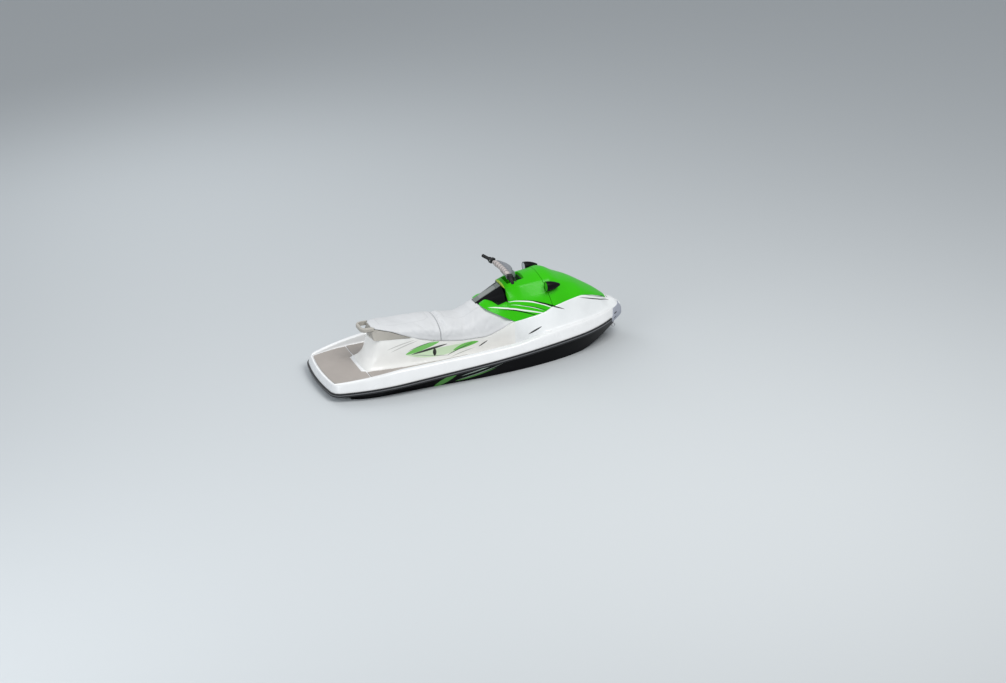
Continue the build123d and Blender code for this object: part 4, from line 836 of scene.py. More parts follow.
cowlShape = {
    "seamLow": (0.735, 0.520), "seamHigh": (0.660, 0.870), "seamGap": 0.004, "hoodWall": 0.010,
    "seatSlopeAft": (0.026, 0.597), "seatSlopeFore": (0.335, 0.437), "seatGap": 0.002,
    "setbacks": (0.006, 0.060, 0.022, 1.0, 1.0, 1.0, 0.022, 0.060, 0.006),
    "cockpitFloor": ((0.336, 0.716), (0.494, 0.727)), "cockpitHalf": 0.090, "cockpitLean": 0.056,
    "cockpitTop": 0.900, "archLean": 0.026, "archTop": 0.765, "archDepth": 0.085,
    "archFade": (0.200, 0.262, 0.305, 0.460), "lugHalf": 0.018, "barrel": 0.009, "knuckleGap": 0.008,
    "hinge": (1.452, 0.397), "aftEnd": 0.80, "hoodStart": 0.60,
}
cowlSpans = [(0.040, 0.262, 24), (0.262, 0.300, 12), (0.300, 1.440, 110)]  # closer together at the arch
cowlStations = np.unique(np.concatenate([np.linspace(*span) for span in cowlSpans]))


def cowlHalf(xs):
    # Edge, flank, shoulder and a crown that is a parabola over the shoulders
    edgeY, edgeZ, flankY, flankZ, shoulderY, shoulderZ, topZ = smoothRows(cowlRows, xs).T[1:]
    rise = topZ - shoulderZ
    return stationCorners(
        xs, (edgeY, edgeZ), (flankY, flankZ), (shoulderY, shoulderZ),
        (shoulderY * 0.5, topZ - rise * 0.1875), (0, topZ + rise * 0.0625),
    )


def leanArch(grid):
    # Moves the arch's side forward by a share of its depth under the top, and fades out ahead and behind
    c = cowlShape
    x, z = grid[..., 0], grid[..., 2]
    fade = np.interp(x, c["archFade"], [0, 1, 1, 0])
    grid[..., 0] = x + c["archLean"] * np.clip((c["archTop"] - z) / c["archDepth"], 0, 1) * fade
    return grid


def planeThrough(low, high):
    # The plane across the craft through two side points (x, z): a point on it, and its normal on the right
    # of the way from the first to the second
    return Vector((low[0], 0, low[1])), Vector((high[1] - low[1], 0, low[0] - high[0])).normalized()


def makeCowlBase():
    c = cowlShape
    half = cowlHalf(cowlStations[cowlStations < c["aftEnd"]])
    bottom = half[:1] * np.array([1, 0, 1])
    grid = leanArch(roundCorners(np.concatenate([bottom, mirroredSpan(half)]), (0,) + c["setbacks"]))
    piece = loft("cowl_aft_shell", grid, angle=50)
    seam, forward = planeThrough(c["seamLow"], c["seamHigh"])
    slicePiece(piece, seam - forward * c["seamGap"] / 2, -forward)
    slope, downward = planeThrough(c["seatSlopeAft"], c["seatSlopeFore"])
    slicePiece(piece, slope - downward * c["seatGap"], -downward)
    floorAft, floorFore = c["cockpitFloor"]
    topFore, topAft = (floorFore[0] + c["cockpitLean"], c["cockpitTop"]), (floorAft[0], c["cockpitTop"])
    carve(piece, [prism("cockpitCut", [floorAft, floorFore, topFore, topAft], c["cockpitHalf"])])
    return piece


def makeHood():
    c = cowlShape
    half = cowlHalf(cowlStations[cowlStations > c["hoodStart"]])
    grid = roundCorners(mirroredSpan(half), c["setbacks"], closed=False)
    piece = gridMesh("hood_shell", grid, angle=50)
    seam, forward = planeThrough(c["seamLow"], c["seamHigh"])
    slicePiece(piece, seam + forward * c["seamGap"] / 2, forward, fill=False)
    withSettings(piece.modifiers.new("wall", "SOLIDIFY"), thickness=c["hoodWall"], offset=-1)
    applyModifiers(piece)
    tidyMesh(piece, 50)
    noseX, noseZ = cowlRows[-1][0], cowlRows[-1][7]
    hingeX, hingeZ = c["hinge"]
    lug = prism("lug", [
        (noseX - c["hoodWall"], noseZ + c["hoodWall"] / 4), (noseX, noseZ - c["hoodWall"] / 4),
        (hingeX + c["barrel"], hingeZ + c["barrel"] / 2), (hingeX, hingeZ), (noseX, noseZ - c["hoodWall"]),
    ], c["lugHalf"])
    barrel = crossBar("barrel", c["barrel"], c["lugHalf"])
    return joined("hood_shell", [piece, lug, barrel])


def crossBar(name, radius, half):
    # A short bar across the hood's hinge line
    x, z = cowlShape["hinge"]
    rim = radius * 0.15
    profile = [(0, radius - rim), (rim, radius), (2 * half - rim, radius), (2 * half, radius - rim)]
    return turned(name, (x, -half, z), (0, 1, 0), profile, 24)


dress(makeCowlBase(), "cowl_green", "root", ["cowl_base"])
dress(makeHood(), "cowl_green", "hood", ["hood"])
print("cowl and hood made")

# Seats, pedestal and fore deck share the line that they meet along

seatRows = [
    # x, half width and height of the lower edge, of the side and of the shoulder, top height
    (-1.098, 0.064, 0.534, 0.076, 0.548, 0.052, 0.560, 0.564),
    (-1.055, 0.118, 0.532, 0.130, 0.546, 0.090, 0.560, 0.566),
    (-0.940, 0.178, 0.512, 0.186, 0.532, 0.122, 0.548, 0.560),
    (-0.800, 0.212, 0.454, 0.212, 0.504, 0.140, 0.537, 0.552),
    (-0.640, 0.236, 0.398, 0.228, 0.482, 0.146, 0.534, 0.553),
    (-0.430, 0.256, 0.350, 0.238, 0.462, 0.142, 0.526, 0.550),
    (-0.180, 0.278, 0.322, 0.238, 0.432, 0.124, 0.496, 0.516),
    (0.010, 0.284, 0.320, 0.206, 0.500, 0.098, 0.584, 0.602),
    (0.175, 0.288, 0.366, 0.210, 0.540, 0.114, 0.641, 0.665),
    (0.335, 0.292, 0.437, 0.214, 0.580, 0.130, 0.700, 0.729),
]
pedestalRows = [
    # x, half widths of the foot, of the ankle, of the waist and of the top
    (-1.240, 0.178, 0.136, 0.106, 0.084),
    (-1.185, 0.218, 0.176, 0.144, 0.118),
    (-1.000, 0.236, 0.210, 0.188, 0.168),
    (-0.730, 0.264, 0.245, 0.230, 0.218),
    (-0.640, 0.270, 0.254, 0.241, 0.230),
    (-0.430, 0.280, 0.269, 0.258, 0.250),
    (-0.180, 0.288, 0.281, 0.274, 0.270),
    (0.010, 0.292, 0.287, 0.280, 0.276),
    (0.175, 0.296, 0.292, 0.286, 0.281),
    (0.335, 0.300, 0.297, 0.292, 0.286),
]
pedestalShape = {
    "ankleShare": 0.14, "waistShare": 0.45, "back": [(-1.240, 0.110), (-1.156, 0.272), (-1.104, 0.460)],
    "handleBase": 0.434, "topGap": 0.0003, "fore": 0.3352, "turnFoot": 0.030, "turnTop": 0.100,
    "turnLow": 0.150, "turnRise": 0.10, "footLift": 0.004, "footLap": 0.004, "footDepth": 0.024,
    "setbacks": (0, 0.02, 0.045, 0.070, 0.008), "sections": 260, "turnSteps": 14, "sideSteps": 110,
    "levelAt": 0.06,
}
foreShape = {
    "rampFeet": [(0.400, 0.345), (0.450, 0.375)],
    "slopeInsets": [
        (0.640, 0.102), (0.745, 0.100), (0.900, 0.096), (1.040, 0.090), (1.180, 0.082), (1.320, 0.070),
        (1.440, 0.056), (1.530, 0.040),
    ],
    "drop": 0.003, "lap": 0.006, "noseEdge": (1.525, 0.038, 0.386), "noseTip": (1.578, 0.018, 0.350),
    "noseFoot": 0.034, "skirt": 0.030, "skirtDrop": 0.006, "depth": 0.060, "joinX": 0.335, "joinFoot": 0.300,
    "joinEdge": (0.335, 0.290, 0.4346), "noseRound": 0.020,
    "setbacks": (0, 0.01, 0.002, 0.040, 0.050, 0.070, 0.010, 0), "stations": 130, "joinLap": 0.001,
    "hollowX": (0.335, 0.60, 1.30, 1.60), "hollowShare": (1.0, 0.4, 0.4, 0.0), "ankleHollow": 0.0015,
    "waistHollow": 0.0030,
}


def sideRows():
    # x, half widths of the foot, the ankle, the waist and the top, then heights of the foot and of the top,
    # for the one moulded side that runs from the pedestal's back into the fore deck's nose
    f, p = foreShape, pedestalShape
    xs = np.array([row[0] for row in pedestalRows[:-1]])
    low, top = floorHeight(xs), np.minimum(smoothRows(seatRows, xs).T[2], p["handleBase"]) - p["topGap"]
    rows = [row + (low[i], top[i]) for i, row in enumerate(pedestalRows[:-1])]
    slope = [(x, halfBeam(x, -inset)) for x, inset in f["slopeInsets"]]
    feet = [(f["joinX"], f["joinFoot"])] + f["rampFeet"] + slope + [(f["noseTip"][0], f["noseFoot"])]
    edges = [(row[0], row[1] + f["lap"], row[2]) for row in cowlRows if row[0] > f["rampFeet"][0][0]]
    edges = [f["joinEdge"]] + edges + [f["noseEdge"], f["noseTip"]]
    edgeY, edgeZ = smoothRows(edges, [foot[0] for foot in feet]).T[1:]
    for i, (atX, footY) in enumerate(feet):
        footZ = float(floorHeight(atX)) if atX < deckShape["rampX"] else float(gunwaleHeight(atX)) - f["drop"]
        bend = np.interp(atX, f["hollowX"], f["hollowShare"])
        ankle = footY + (edgeY[i] - footY) * p["ankleShare"] - f["ankleHollow"] * bend
        waist = footY + (edgeY[i] - footY) * p["waistShare"] - f["waistHollow"] * bend
        rows.append((atX, footY, ankle, waist, edgeY[i], footZ, edgeZ[i]))
    return rows


def sideProfile(xs):
    # Half section of the moulded side at each station, from its foot up to its top edge
    p = pedestalShape
    footY, ankleY, waistY, topY, low, top = smoothRows(sideTable, xs).T[1:]
    ankleZ, waistZ = (low + (top - low) * p[share] for share in ("ankleShare", "waistShare"))
    return (footY, low + p["footLift"]), (ankleY, ankleZ), (waistY, waistZ), (topY, top)


def makeForeDeck():
    f = foreShape
    xs = np.linspace(f["joinX"] - f["joinLap"], f["noseTip"][0], f["stations"])
    foot, ankle, waist, edge = sideProfile(xs)
    half = stationCorners(
        xs, (0, foot[1] - f["depth"]), (foot[0] + f["skirt"], foot[1] - f["depth"]),
        (foot[0] + f["skirt"], foot[1] - f["skirtDrop"]), foot, ankle, waist, edge, (0, edge[1]),
    )
    grid = roundedLoop(half, f["setbacks"])
    grid = bulgeEnds(grid, f["noseRound"], ends=(1,))
    piece = loft("fore_deck_shell", grid, angle=40)
    c = cowlShape
    reach = c["lugHalf"] + c["knuckleGap"]
    return carve(piece, [crossBar("knuckleRoom", c["barrel"] + c["knuckleGap"], reach)])


sideTable = sideRows()
foreDeck = makeForeDeck()
binShape = {
    "aftX": 0.850, "foreX": 1.230, "aftHalf": 0.190, "foreHalf": 0.096, "floorZ": 0.250, "topZ": 0.90,
    "taper": math.radians(3.0), "gap": 0.001,
}


def binCutter():
    # The bin's outer form, open upwards with its draft, grown by its gap
    b = binShape
    lean = math.tan(b["taper"]) * (b["topZ"] - b["floorZ"])
    vertices = []
    for z, grow in ((b["floorZ"] - b["gap"], b["gap"]), (b["topZ"], b["gap"] + lean)):
        aft, fore = (b["aftX"] - grow, b["aftHalf"] + grow), (b["foreX"] + grow, b["foreHalf"] + grow)
        vertices += [(aft[0], aft[1], z), (fore[0], fore[1], z), (fore[0], -fore[1], z), (aft[0], -aft[1], z)]
    faces = [(0, 1, 2, 3), (4, 5, 6, 7), (0, 1, 5, 4), (1, 2, 6, 5), (2, 3, 7, 6), (3, 0, 4, 7)]
    return meshFrom("binCut", vertices, faces)


carve(foreDeck, [binCutter()])
carve(deckPiece, [binCutter()])
# The fore deck wears the lighter copy of the deck's white, with painted light
dress(foreDeck, "deck_white", "root", ["fore_deck"], "foreLitWhite")
dress(deckPiece, "deck_white", "root", ["deck"])
print("fore deck made")


def makePedestal():
    # The side's profile runs back from the join. Behind, each height turns in to the centreline along a
    # quarter ellipse, tight at the foot and wide above it, and its end follows the back's own leaning curve.
    p = pedestalShape
    back = np.array(p["back"])
    curve = np.polyfit(back[:, 1], back[:, 0], 2)
    turn = np.linspace(0, math.pi / 2, p["turnSteps"])
    run = np.linspace(0, 1, p["sideSteps"])[1:]
    columns = []
    lowX = p["back"][0][0]
    xs = np.linspace(lowX, p["fore"], p["sections"])
    profile = sideProfile(xs)
    corners = stationCorners(xs, (profile[0][0] + p["footLap"], profile[0][1] - p["footDepth"]), *profile)
    grid = roundCorners(corners, p["setbacks"], closed=False, steps=7)
    for line in grid:
        level = np.interp(lowX + p["levelAt"], line[:, 0], line[:, 2])
        endX = max(lowX, float(np.polyval(curve, level)))
        share = np.clip((level - p["turnLow"]) / p["turnRise"], 0, 1)
        radius = p["turnFoot"] + (p["turnTop"] - p["turnFoot"]) * share
        x = np.r_[endX + radius * (1 - np.cos(turn)), endX + radius + (p["fore"] - endX - radius) * run]
        narrow = np.r_[np.sin(turn), np.ones(len(run))]
        y = np.interp(x, line[:, 0], line[:, 1]) * narrow
        columns.append(np.stack([x, y, np.interp(x, line[:, 0], line[:, 2])], 1))
    side = np.stack(columns)
    side = np.concatenate([side[:1] * np.array([1, 0, 1]), side, side[-1:] * np.array([1, 0, 1])])
    return gridMesh("pedestal_shell", mirroredLoop(side), across=True, caps=(1,), angle=60)


# The pedestal wears the lighter copy of the deck's white, with painted light
dress(makePedestal(), "deck_white", "root", ["pedestal"], "pedestalLitWhite")

seatShape = {
    "split": -0.430, "splitGap": 0.0016, "rim": 0.011, "fore": 0.3347, "foreGap": 0.002, "inset": 0.005,
    "stations": 90, "setbacks": (0, 0.020, 0.045, 0.060, 1.0, 1.0),
    "voxel": 0.008, "cap": 0.008, "pressure": 4.0, "seamDepth": 0.0022, "seamHalf": 0.0050,
    "panelHalf": 0.105, "panelAft": 0.09, "panelFore": 0.07, "panelRise": 0.02, "panelSquare": 8,
    "panelLeast": 0.02, "panelEnds": 0.8, "sideSeam": (0.001, 0.012),
    "heldRise": 0.004, "freeRise": 0.03, "freeSlope": 0.04, "heldSplit": 0.006, "freeSplit": 0.02,
    "slopeReach": 0.06, "clearZ": 2.0,
}
seatCreases = {
    # start, end, depth, half width of each soft dent and crease
    "front": [
        ((-0.30, 0.0, 0.53), (-0.06, 0.0, 0.57), 0.006, 0.100),
        ((-0.39, 0.10, 0.54), (-0.375, 0.235, 0.45), 0.006, 0.022),
        ((-0.33, 0.15, 0.51), (-0.37, 0.25, 0.41), 0.005, 0.016),
        ((-0.25, 0.14, 0.50), (-0.31, 0.245, 0.40), 0.005, 0.018),
        ((-0.13, 0.13, 0.50), (-0.20, 0.24, 0.41), 0.004, 0.018),
        ((-0.02, 0.12, 0.55), (-0.09, 0.24, 0.43), 0.004, 0.020),
        ((0.10, 0.22, 0.50), (0.02, 0.26, 0.40), 0.003, 0.018),
        ((-0.425, 0.09, 0.55), (-0.345, 0.215, 0.475), 0.008, 0.014),
    ],
    "rear": [
        ((-0.86, 0.0, 0.57), (-0.62, 0.0, 0.56), 0.005, 0.090),
        ((-0.475, 0.11, 0.54), (-0.47, 0.235, 0.46), 0.005, 0.020),
        ((-0.54, 0.15, 0.53), (-0.50, 0.24, 0.43), 0.005, 0.016),
        ((-0.62, 0.17, 0.52), (-0.57, 0.238, 0.44), 0.004, 0.016),
        ((-0.665, 0.11, 0.548), (-0.555, 0.215, 0.485), 0.008, 0.014),
        ((-0.73, 0.18, 0.52), (-0.68, 0.232, 0.45), 0.004, 0.016),
        ((-0.86, 0.16, 0.54), (-0.82, 0.215, 0.49), 0.003, 0.016),
    ],
}


def seatGrid(first, last, count):
    s = seatShape
    xs = np.linspace(first, last, count)
    lowY, lowZ, sideY, sideZ, shoulderY, shoulderZ, topZ = smoothRows(seatRows, xs).T[1:]
    rise, inset = topZ - shoulderZ, s["inset"]
    half = stationCorners(
        xs, (0, lowZ), (lowY - inset, lowZ), (sideY - inset, sideZ),
        (shoulderY - inset / 2, shoulderZ - inset), (shoulderY * 0.5, topZ - rise * 0.1875 - inset),
        (0, topZ + rise * 0.0625 - inset),
    )
    return roundedLoop(half, s["setbacks"], steps=6)


def seatHold(points):
    # 0 on the underside, beside the cowl's slope and at the split, 1 on the free cover
    c, s = cowlShape, seatShape
    x, z = points[:, 0], points[:, 2]
    aft, fore = c["seatSlopeAft"], c["seatSlopeFore"]
    limit = np.interp(x, [aft[0] - s["slopeReach"], aft[0], fore[0]], [s["clearZ"], aft[1], fore[1]])
    free = np.clip((z - smoothRows(seatRows, x)[:, 2] - s["heldRise"]) / s["freeRise"], 0, 1)
    free = free * np.clip((limit - z) / s["freeSlope"], 0, 1)
    return free * np.clip((np.abs(x - s["split"]) - s["heldSplit"]) / s["freeSplit"], 0, 1)


def seatSeams(piece):
    # Sewn seams: one along each side at the side's own line, and one round the sitting panel on top. The
    # distance to the nearest gives the groove's depth, and is kept as the attribute that darkens it. Low
    # waves, the product of two sines, keep the cover from being dead smooth.
    s = seatShape
    points, normals = getPoints(piece), getNormals(piece)
    x, y, z = points.T
    row = smoothRows(seatRows, x)
    side = np.hypot(np.abs(y) - row[:, 3] - s["sideSeam"][0], z - row[:, 4] - s["sideSeam"][1])
    low, high = x.min() + s["panelAft"], x.max() - s["panelFore"]
    along = (x - (low + high) / 2) / ((high - low) / 2)
    inPanel = s["panelHalf"] * np.clip(1 - along ** s["panelSquare"], 0, 1) ** 0.5
    onTop = z > row[:, 4] + s["panelRise"]
    panel = np.where(onTop & (inPanel > s["panelLeast"]), np.abs(np.abs(y) - inPanel), 1.0)
    near = np.minimum(np.abs(x - low), np.abs(x - high))
    ends = np.where(onTop & (np.abs(y) < s["panelHalf"] * s["panelEnds"]), near, 1.0)
    free = seatHold(points)
    mask = np.exp(-((np.minimum(np.minimum(side, panel), ends) / s["seamHalf"]) ** 2)) * free
    waves = 0.0008 * np.sin(31 * x + 2.0) * np.sin(37 * y + 1.0)
    waves = waves + 0.0006 * np.sin(67 * x + 23 * y) * np.sin(53 * z)
    setPoints(piece, points - normals * (s["seamDepth"] * mask + waves * free)[:, None])
    setAttribute(piece, "seam", mask)


def makeSeat(name, first, last, creases):
    # The front seat's fore end is flat against the cowl, and the other ends are rounded over their rims
    s, c = seatShape, cowlShape
    rim, flat = s["rim"], last > 0
    grid = seatGrid(first + rim, last - (s["foreGap"] if flat else rim), s["stations"])
    grid = bulgeEnds(grid, rim, ends=(0,) if flat else (0, 1))
    aft, fore = c["seatSlopeAft"], c["seatSlopeFore"]
    slope = (fore[1] - aft[1]) / (fore[0] - aft[0])
    limit = aft[1] + (grid[..., 0] - aft[0]) * slope
    grid[..., 2] = np.where(grid[..., 0] > aft[0], np.minimum(grid[..., 2], limit), grid[..., 2])
    piece = loft(name, grid, angle=60)
    swell(piece, s["voxel"], s["cap"], s["pressure"], seatHold)
    pressLines(piece, creases)
    seatSeams(piece)
    return piece


splitAft, splitFore = (seatShape["split"] + side * seatShape["splitGap"] / 2 for side in (-1, 1))
for end, first, last in (("front", splitFore, seatShape["fore"]), ("rear", seatRows[0][0], splitAft)):
    cushion = makeSeat("seat_" + end, first, last, seatCreases[end])
    dress(cushion, "seat_vinyl", "root", [end + "_seat"])
print("pedestal and seats made")

consoleRows = [
    # x, half width and height of the base, of the haunch and of the spine
    (0.010, 0.072, 0.552, 0.064, 0.586, 0.042, 0.612),
    (0.120, 0.100, 0.586, 0.090, 0.640, 0.044, 0.664),
    (0.284, 0.178, 0.600, 0.150, 0.694, 0.048, 0.742),
]
consoleShape = {"stations": 40, "setbacks": (0, 0.006, 0.030, 0.006, 0)}
lidShape = {
    "start": 0.062, "length": 0.190, "half": 0.038, "sideGap": 0.0015, "thick": 0.010, "proud": 0.003,
    "gap": 0.0025, "above": 0.03, "lean": 0.004, "under": 0.0003,
}
gloveBox = {"aftX": 0.090, "foreX": 0.222, "half": 0.030, "floorZ": 0.618, "topZ": 0.80}


def spinePoint(along, out):
    low = np.array((consoleRows[0][0], consoleRows[0][6]))
    high = np.array((consoleRows[-1][0], consoleRows[-1][6]))
    unit = (high - low) / np.linalg.norm(high - low)
    return tuple(low + unit * along + np.array((-unit[1], unit[0])) * out)


def makeConsole():
    # The ridge has a seat for the lid, whose aft end leans back as it rises, and a glove box under it
    s, m, g = consoleShape, lidShape, gloveBox
    xs = np.linspace(consoleRows[0][0], consoleRows[-1][0], s["stations"])
    baseY, baseZ, haunchY, haunchZ, spineY, spineZ = smoothRows(consoleRows, xs).T[1:]
    half = stationCorners(xs, (0, baseZ), (baseY, baseZ), (haunchY, haunchZ), (spineY, spineZ), (0, spineZ))
    grid = roundedLoop(half, s["setbacks"])
    piece = loft("console_ridge", grid, angle=40)
    depth = m["thick"] - m["proud"] + m["under"]
    aft, fore = m["start"] - m["gap"], m["start"] + m["length"] + m["gap"]
    corners = [(aft, -depth), (fore, -depth), (fore, m["above"]), (aft - m["lean"], m["above"])]
    lidSeat = prism("lidSeat", [spinePoint(*corner) for corner in corners], m["half"] + m["sideGap"])
    box = blockProfile(g["aftX"], g["foreX"], g["floorZ"], g["topZ"])
    return carve(piece, [lidSeat, prism("gloveCut", box, g["half"])])


dress(makeConsole(), "console_black", "root", ["console"], "consoleRidge")
print("console made")

# Handlebar: pad, grips and buttons

padRows = [
    # half width, aft and fore edge from the centre
    (0.000, -0.052, 0.086),
    (0.050, -0.052, 0.080),
    (0.110, -0.053, 0.052),
    (0.165, -0.050, 0.026),
    (0.185, -0.040, 0.010),
    (0.191, -0.026, -0.012),
]
padShape = {
    "centre": (0.336, 0.0, 0.908), "dip": math.radians(6.0), "height": 0.050, "square": 0.62, "half": 0.190,
    "stations": 61, "sides": 36, "voxel": 0.005, "cap": 0.006, "pressure": 4.0,
    "channels": (0.0, 0.050, 0.098, 0.142), "channelAft": (0.276, 0.895), "channelFore": (0.352, 0.945),
    "channelFade": 0.012, "channelDepth": 0.015, "channelHalf": 0.0095,
    "creases": [
        # start, end and share of the channels' depth
        ((0.356, 0.0, 0.944), (0.320, 0.180, 0.946), 0.7),
        ((0.400, 0.03, 0.93), (0.345, 0.15, 0.94), 0.4),
    ],
}


def makePad():
    # Across the craft each section is a rounded block between the rows' aft and fore edges, thinner at
    # the ends
    p = padShape
    y = p["half"] * np.sin(np.linspace(-math.pi / 2, math.pi / 2, p["stations"]))
    aft, fore = smoothRows(padRows, np.abs(y)).T[1:]
    tall = p["height"] / 2 * np.sqrt(np.maximum(1 - (np.abs(y) / (p["half"] + 0.004)) ** 6, 0.05))
    turn = np.linspace(0, 2 * math.pi, p["sides"], endpoint=False)[:, None]
    wide, high = (np.sign(wave) * np.abs(wave) ** p["square"] for wave in (np.cos(turn), np.sin(turn)))
    x = (aft + fore) / 2 + (fore - aft) / 2 * wide
    z = tall * high
    sine, cosine = math.sin(p["dip"]), math.cos(p["dip"])
    grid = np.stack([x * cosine + z * sine, np.broadcast_to(y, x.shape), z * cosine - x * sine], -1)
    piece = loft("handlebar_pad", grid + np.array(p["centre"]), angle=60)
    swell(piece, p["voxel"], p["cap"], p["pressure"], lambda points: np.ones(len(points)))
    deep, half = p["channelDepth"], p["channelHalf"]
    (aftX, aftZ), (foreX, foreZ) = p["channelAft"], p["channelFore"]
    lines = [((aftX, side, aftZ), (foreX, side, foreZ), deep, half) for side in p["channels"]]
    pressLines(piece, lines + [(start, end, deep * share, half) for start, end, share in p["creases"]])
    x, y = getPoints(piece).T[:2]
    away = np.abs(np.abs(y)[:, None] - np.array(p["channels"])).min(1)
    bell = np.exp(-((away / (half * 0.7)) ** 2))
    setAttribute(piece, "seam", bell * np.clip((foreX - x) / p["channelFade"], 0, 1))
    return piece


barPad = dress(makePad(), "pad_vinyl", "steering", ["bar_pad"])

barShape = {
    "end": (0.275, 0.390, 0.9049), "towards": (-0.2169, 0.9762, 0.0), "grip": 0.120, "radius": 0.017,
    "bore": 0.012, "flange": 0.007, "over": 0.006, "ribStart": 0.009, "ribEnd": 0.010, "ribPitch": 0.006,
    "ribDepth": 0.0010, "podBack": 0.1578, "podHalf": 0.031, "buttonSink": 0.001,
    "buttons": ((0.009, -0.008), (-0.010, 0.009)),  # height over the housing's middle, shift along the bar
}


def makeGrip(side):
    # A flange at the inner end, ribs round the rubber and a rounded outer end
    b = barShape
    end, axis = np.array(b["end"]) * [1, side, 1], np.array(b["towards"]) * [1, side, 1]
    radius, wide, length = b["radius"], b["radius"] + b["flange"], b["grip"] + b["over"]
    s = np.arange(b["ribStart"], length - b["ribEnd"], b["ribPitch"] / 8)
    ribs = np.c_[s, radius - b["ribDepth"] * np.abs(np.sin(math.pi * s / b["ribPitch"])) ** 3].tolist()
    flange = [(0, b["bore"]), (0, wide - 0.002), (0.002, wide), (0.005, wide), (0.007, wide - 0.003)]
    flange.append((0.008, radius))
    tip = [(length - 0.006, radius + 0.001), (length - 0.001, radius - 0.001), (length, b["bore"])]
    name = "grip_" + ("left" if side > 0 else "right")
    return turned(name, end - axis * b["grip"], axis, flange + ribs + tip)


def makeButtons(side):
    # Two domed buttons on the rider's face of the switch housing, in shallow collars
    b = barShape
    axis = np.array(b["towards"]) * [1, side, 1]
    out = np.array([-axis[1] * side, axis[0] * side, 0.0])
    middle = np.array(b["end"]) * [1, side, 1] - axis * b["podBack"] + out * (b["podHalf"] - b["buttonSink"])
    collar = [(0, 0.001), (0, 0.0085), (0.0030, 0.0085), (0.0034, 0.0070), (0.0022, 0.0066)]
    dome = [(0.0022, 0.0064), (0.0040, 0.0062), (0.0052, 0.0046), (0.0058, 0.0022), (0.0059, 0.0002)]
    parts = [
        turned("button", middle + np.array([0, 0, lift]) + axis * shift, out, collar + dome, 28)
        for lift, shift in b["buttons"]
    ]
    return joined("switch_buttons_" + ("left" if side > 0 else "right"), parts)


for side, label in ((1, "port"), (-1, "starboard")):
    dress(makeGrip(side), "grip_rubber", "steering", ["grip_" + label])
    dress(makeButtons(side), "trim_grey", "steering", (), "consoleGrey")
print("handlebar made")

# Rub rail and bow bumper round the plan outline

railShape = {
    "width": 0.013, "drop": 0.014, "rise": 0.026, "fit": 0.0003, "round": 0.005, "turn": 60.0,
    "reach": 0.100, "insertLow": 0.0025, "insertHigh": 0.0105, "insertOut": 0.0148, "insertSink": 0.001,
    "insertRound": 0.0012, "bumperHeight": 0.088, "bumperThick": 0.012, "bumperRound": 0.006, "lap": 0.004,
    "rake": 0.9, "slots": (0.004, 0.040), "slotTall": 0.0110, "slotLong": 0.055, "slotDeep": 0.006,
    "slotStart": 0.010, "slotReach": 0.03, "stripSink": 0.001, "stripProud": 0.002,
}


def rimPath(bow):
    # The outline's points, directions and distance along it, either round the nose or over all the rest
    r = railShape
    centre, radius = planArcs()[0][:2]
    limitX = centre[0] + radius * math.cos(math.radians(r["turn"])) - r["reach"]
    place, facing = planLoop(0.006 if bow else 0.02)
    if bow:
        half = len(place) // 2
        place, facing = np.roll(place, half, 0), np.roll(facing, half, 0)
    keep = np.flatnonzero(place[:, 0] >= limitX if bow else place[:, 0] <= limitX)
    keep = np.arange(keep[0], keep[-1] + 1)
    place, facing = place[keep], facing[keep]
    for end, other in ((0, 1), (-1, -2)):
        share = (limitX - place[end, 0]) / (place[other, 0] - place[end, 0])
        place[end] += (place[other] - place[end]) * share
    return place, facing, np.r_[0, np.cumsum(np.linalg.norm(np.diff(place, axis=0), axis=1))]


def sweptRim(name, path, profile, rounding=0.0, rake=0.0, window=None):
    # A closed profile (outward, lift) carried along a path, or along a window of it. With a rake, each end
    # draws in by that share of the height over the profile's foot.
    place, facing, run = path
    corners = np.array([[(out, lift, 0.0)] for out, lift in profile])
    rounded = roundCorners(corners, [rounding] * len(profile), steps=4)[:, 0] if rounding else corners[:, 0]
    first, last = window or (0.0, run[-1])
    foot = min(lift for _, lift in profile)
    rows = []
    for out, lift, _ in rounded:
        draw = rake * (lift - foot)
        at = first + draw + run / run[-1] * (last - first - 2 * draw)
        spot, away = (np.stack([np.interp(at, run, side) for side in rim.T], 1) for rim in (place, facing))
        rows.append(onSheer(spot + away / np.linalg.norm(away, axis=1)[:, None] * out, lift))
    return loft(name, np.stack(rows), angle=40)


def makeBumper():
    # The bumper follows the leaning deck band above the rail and has two short slots near each end. Black
    # strips on the slots' floors are painted shade that makes the slots read dark.
    r, d = railShape, deckShape
    wide, path = r["width"] + r["lap"], rimPath(True)
    lean = d["bandInset"] * (r["bumperHeight"] - d["flange"]) / (d["bandHeight"] - d["flange"])
    foot, knee, top = -r["drop"] - r["lap"], r["rise"] + r["lap"], r["bumperHeight"]
    crown = r["bumperThick"] - lean
    front = [(r["fit"], foot), (wide, foot), (wide, knee), (crown, top)]
    back = [(r["fit"] - lean, top), (r["fit"], knee)]
    piece = sweptRim("bumper_bow", path, front + back, r["bumperRound"], r["rake"])
    cutters, strips = [], []
    for lift in r["slots"]:
        out = np.interp(lift, [knee, top], [wide, crown]) - r["slotDeep"]
        first = r["rake"] * (lift - foot) + r["slotStart"]
        last = first + r["slotLong"]
        for window in ((first, last), (path[2][-1] - last, path[2][-1] - first)):
            cut = blockProfile(out, out + r["slotReach"], lift, lift + r["slotTall"])
            strip = blockProfile(out - r["stripSink"], out + r["stripProud"], lift, lift + r["slotTall"])
            cutters.append(sweptRim("slotCut", path, cut, window=window))
            strips.append(sweptRim("slotStrip", path, strip, window=window))
    return carve(piece, cutters), joined("bumper_slot_shade", strips)


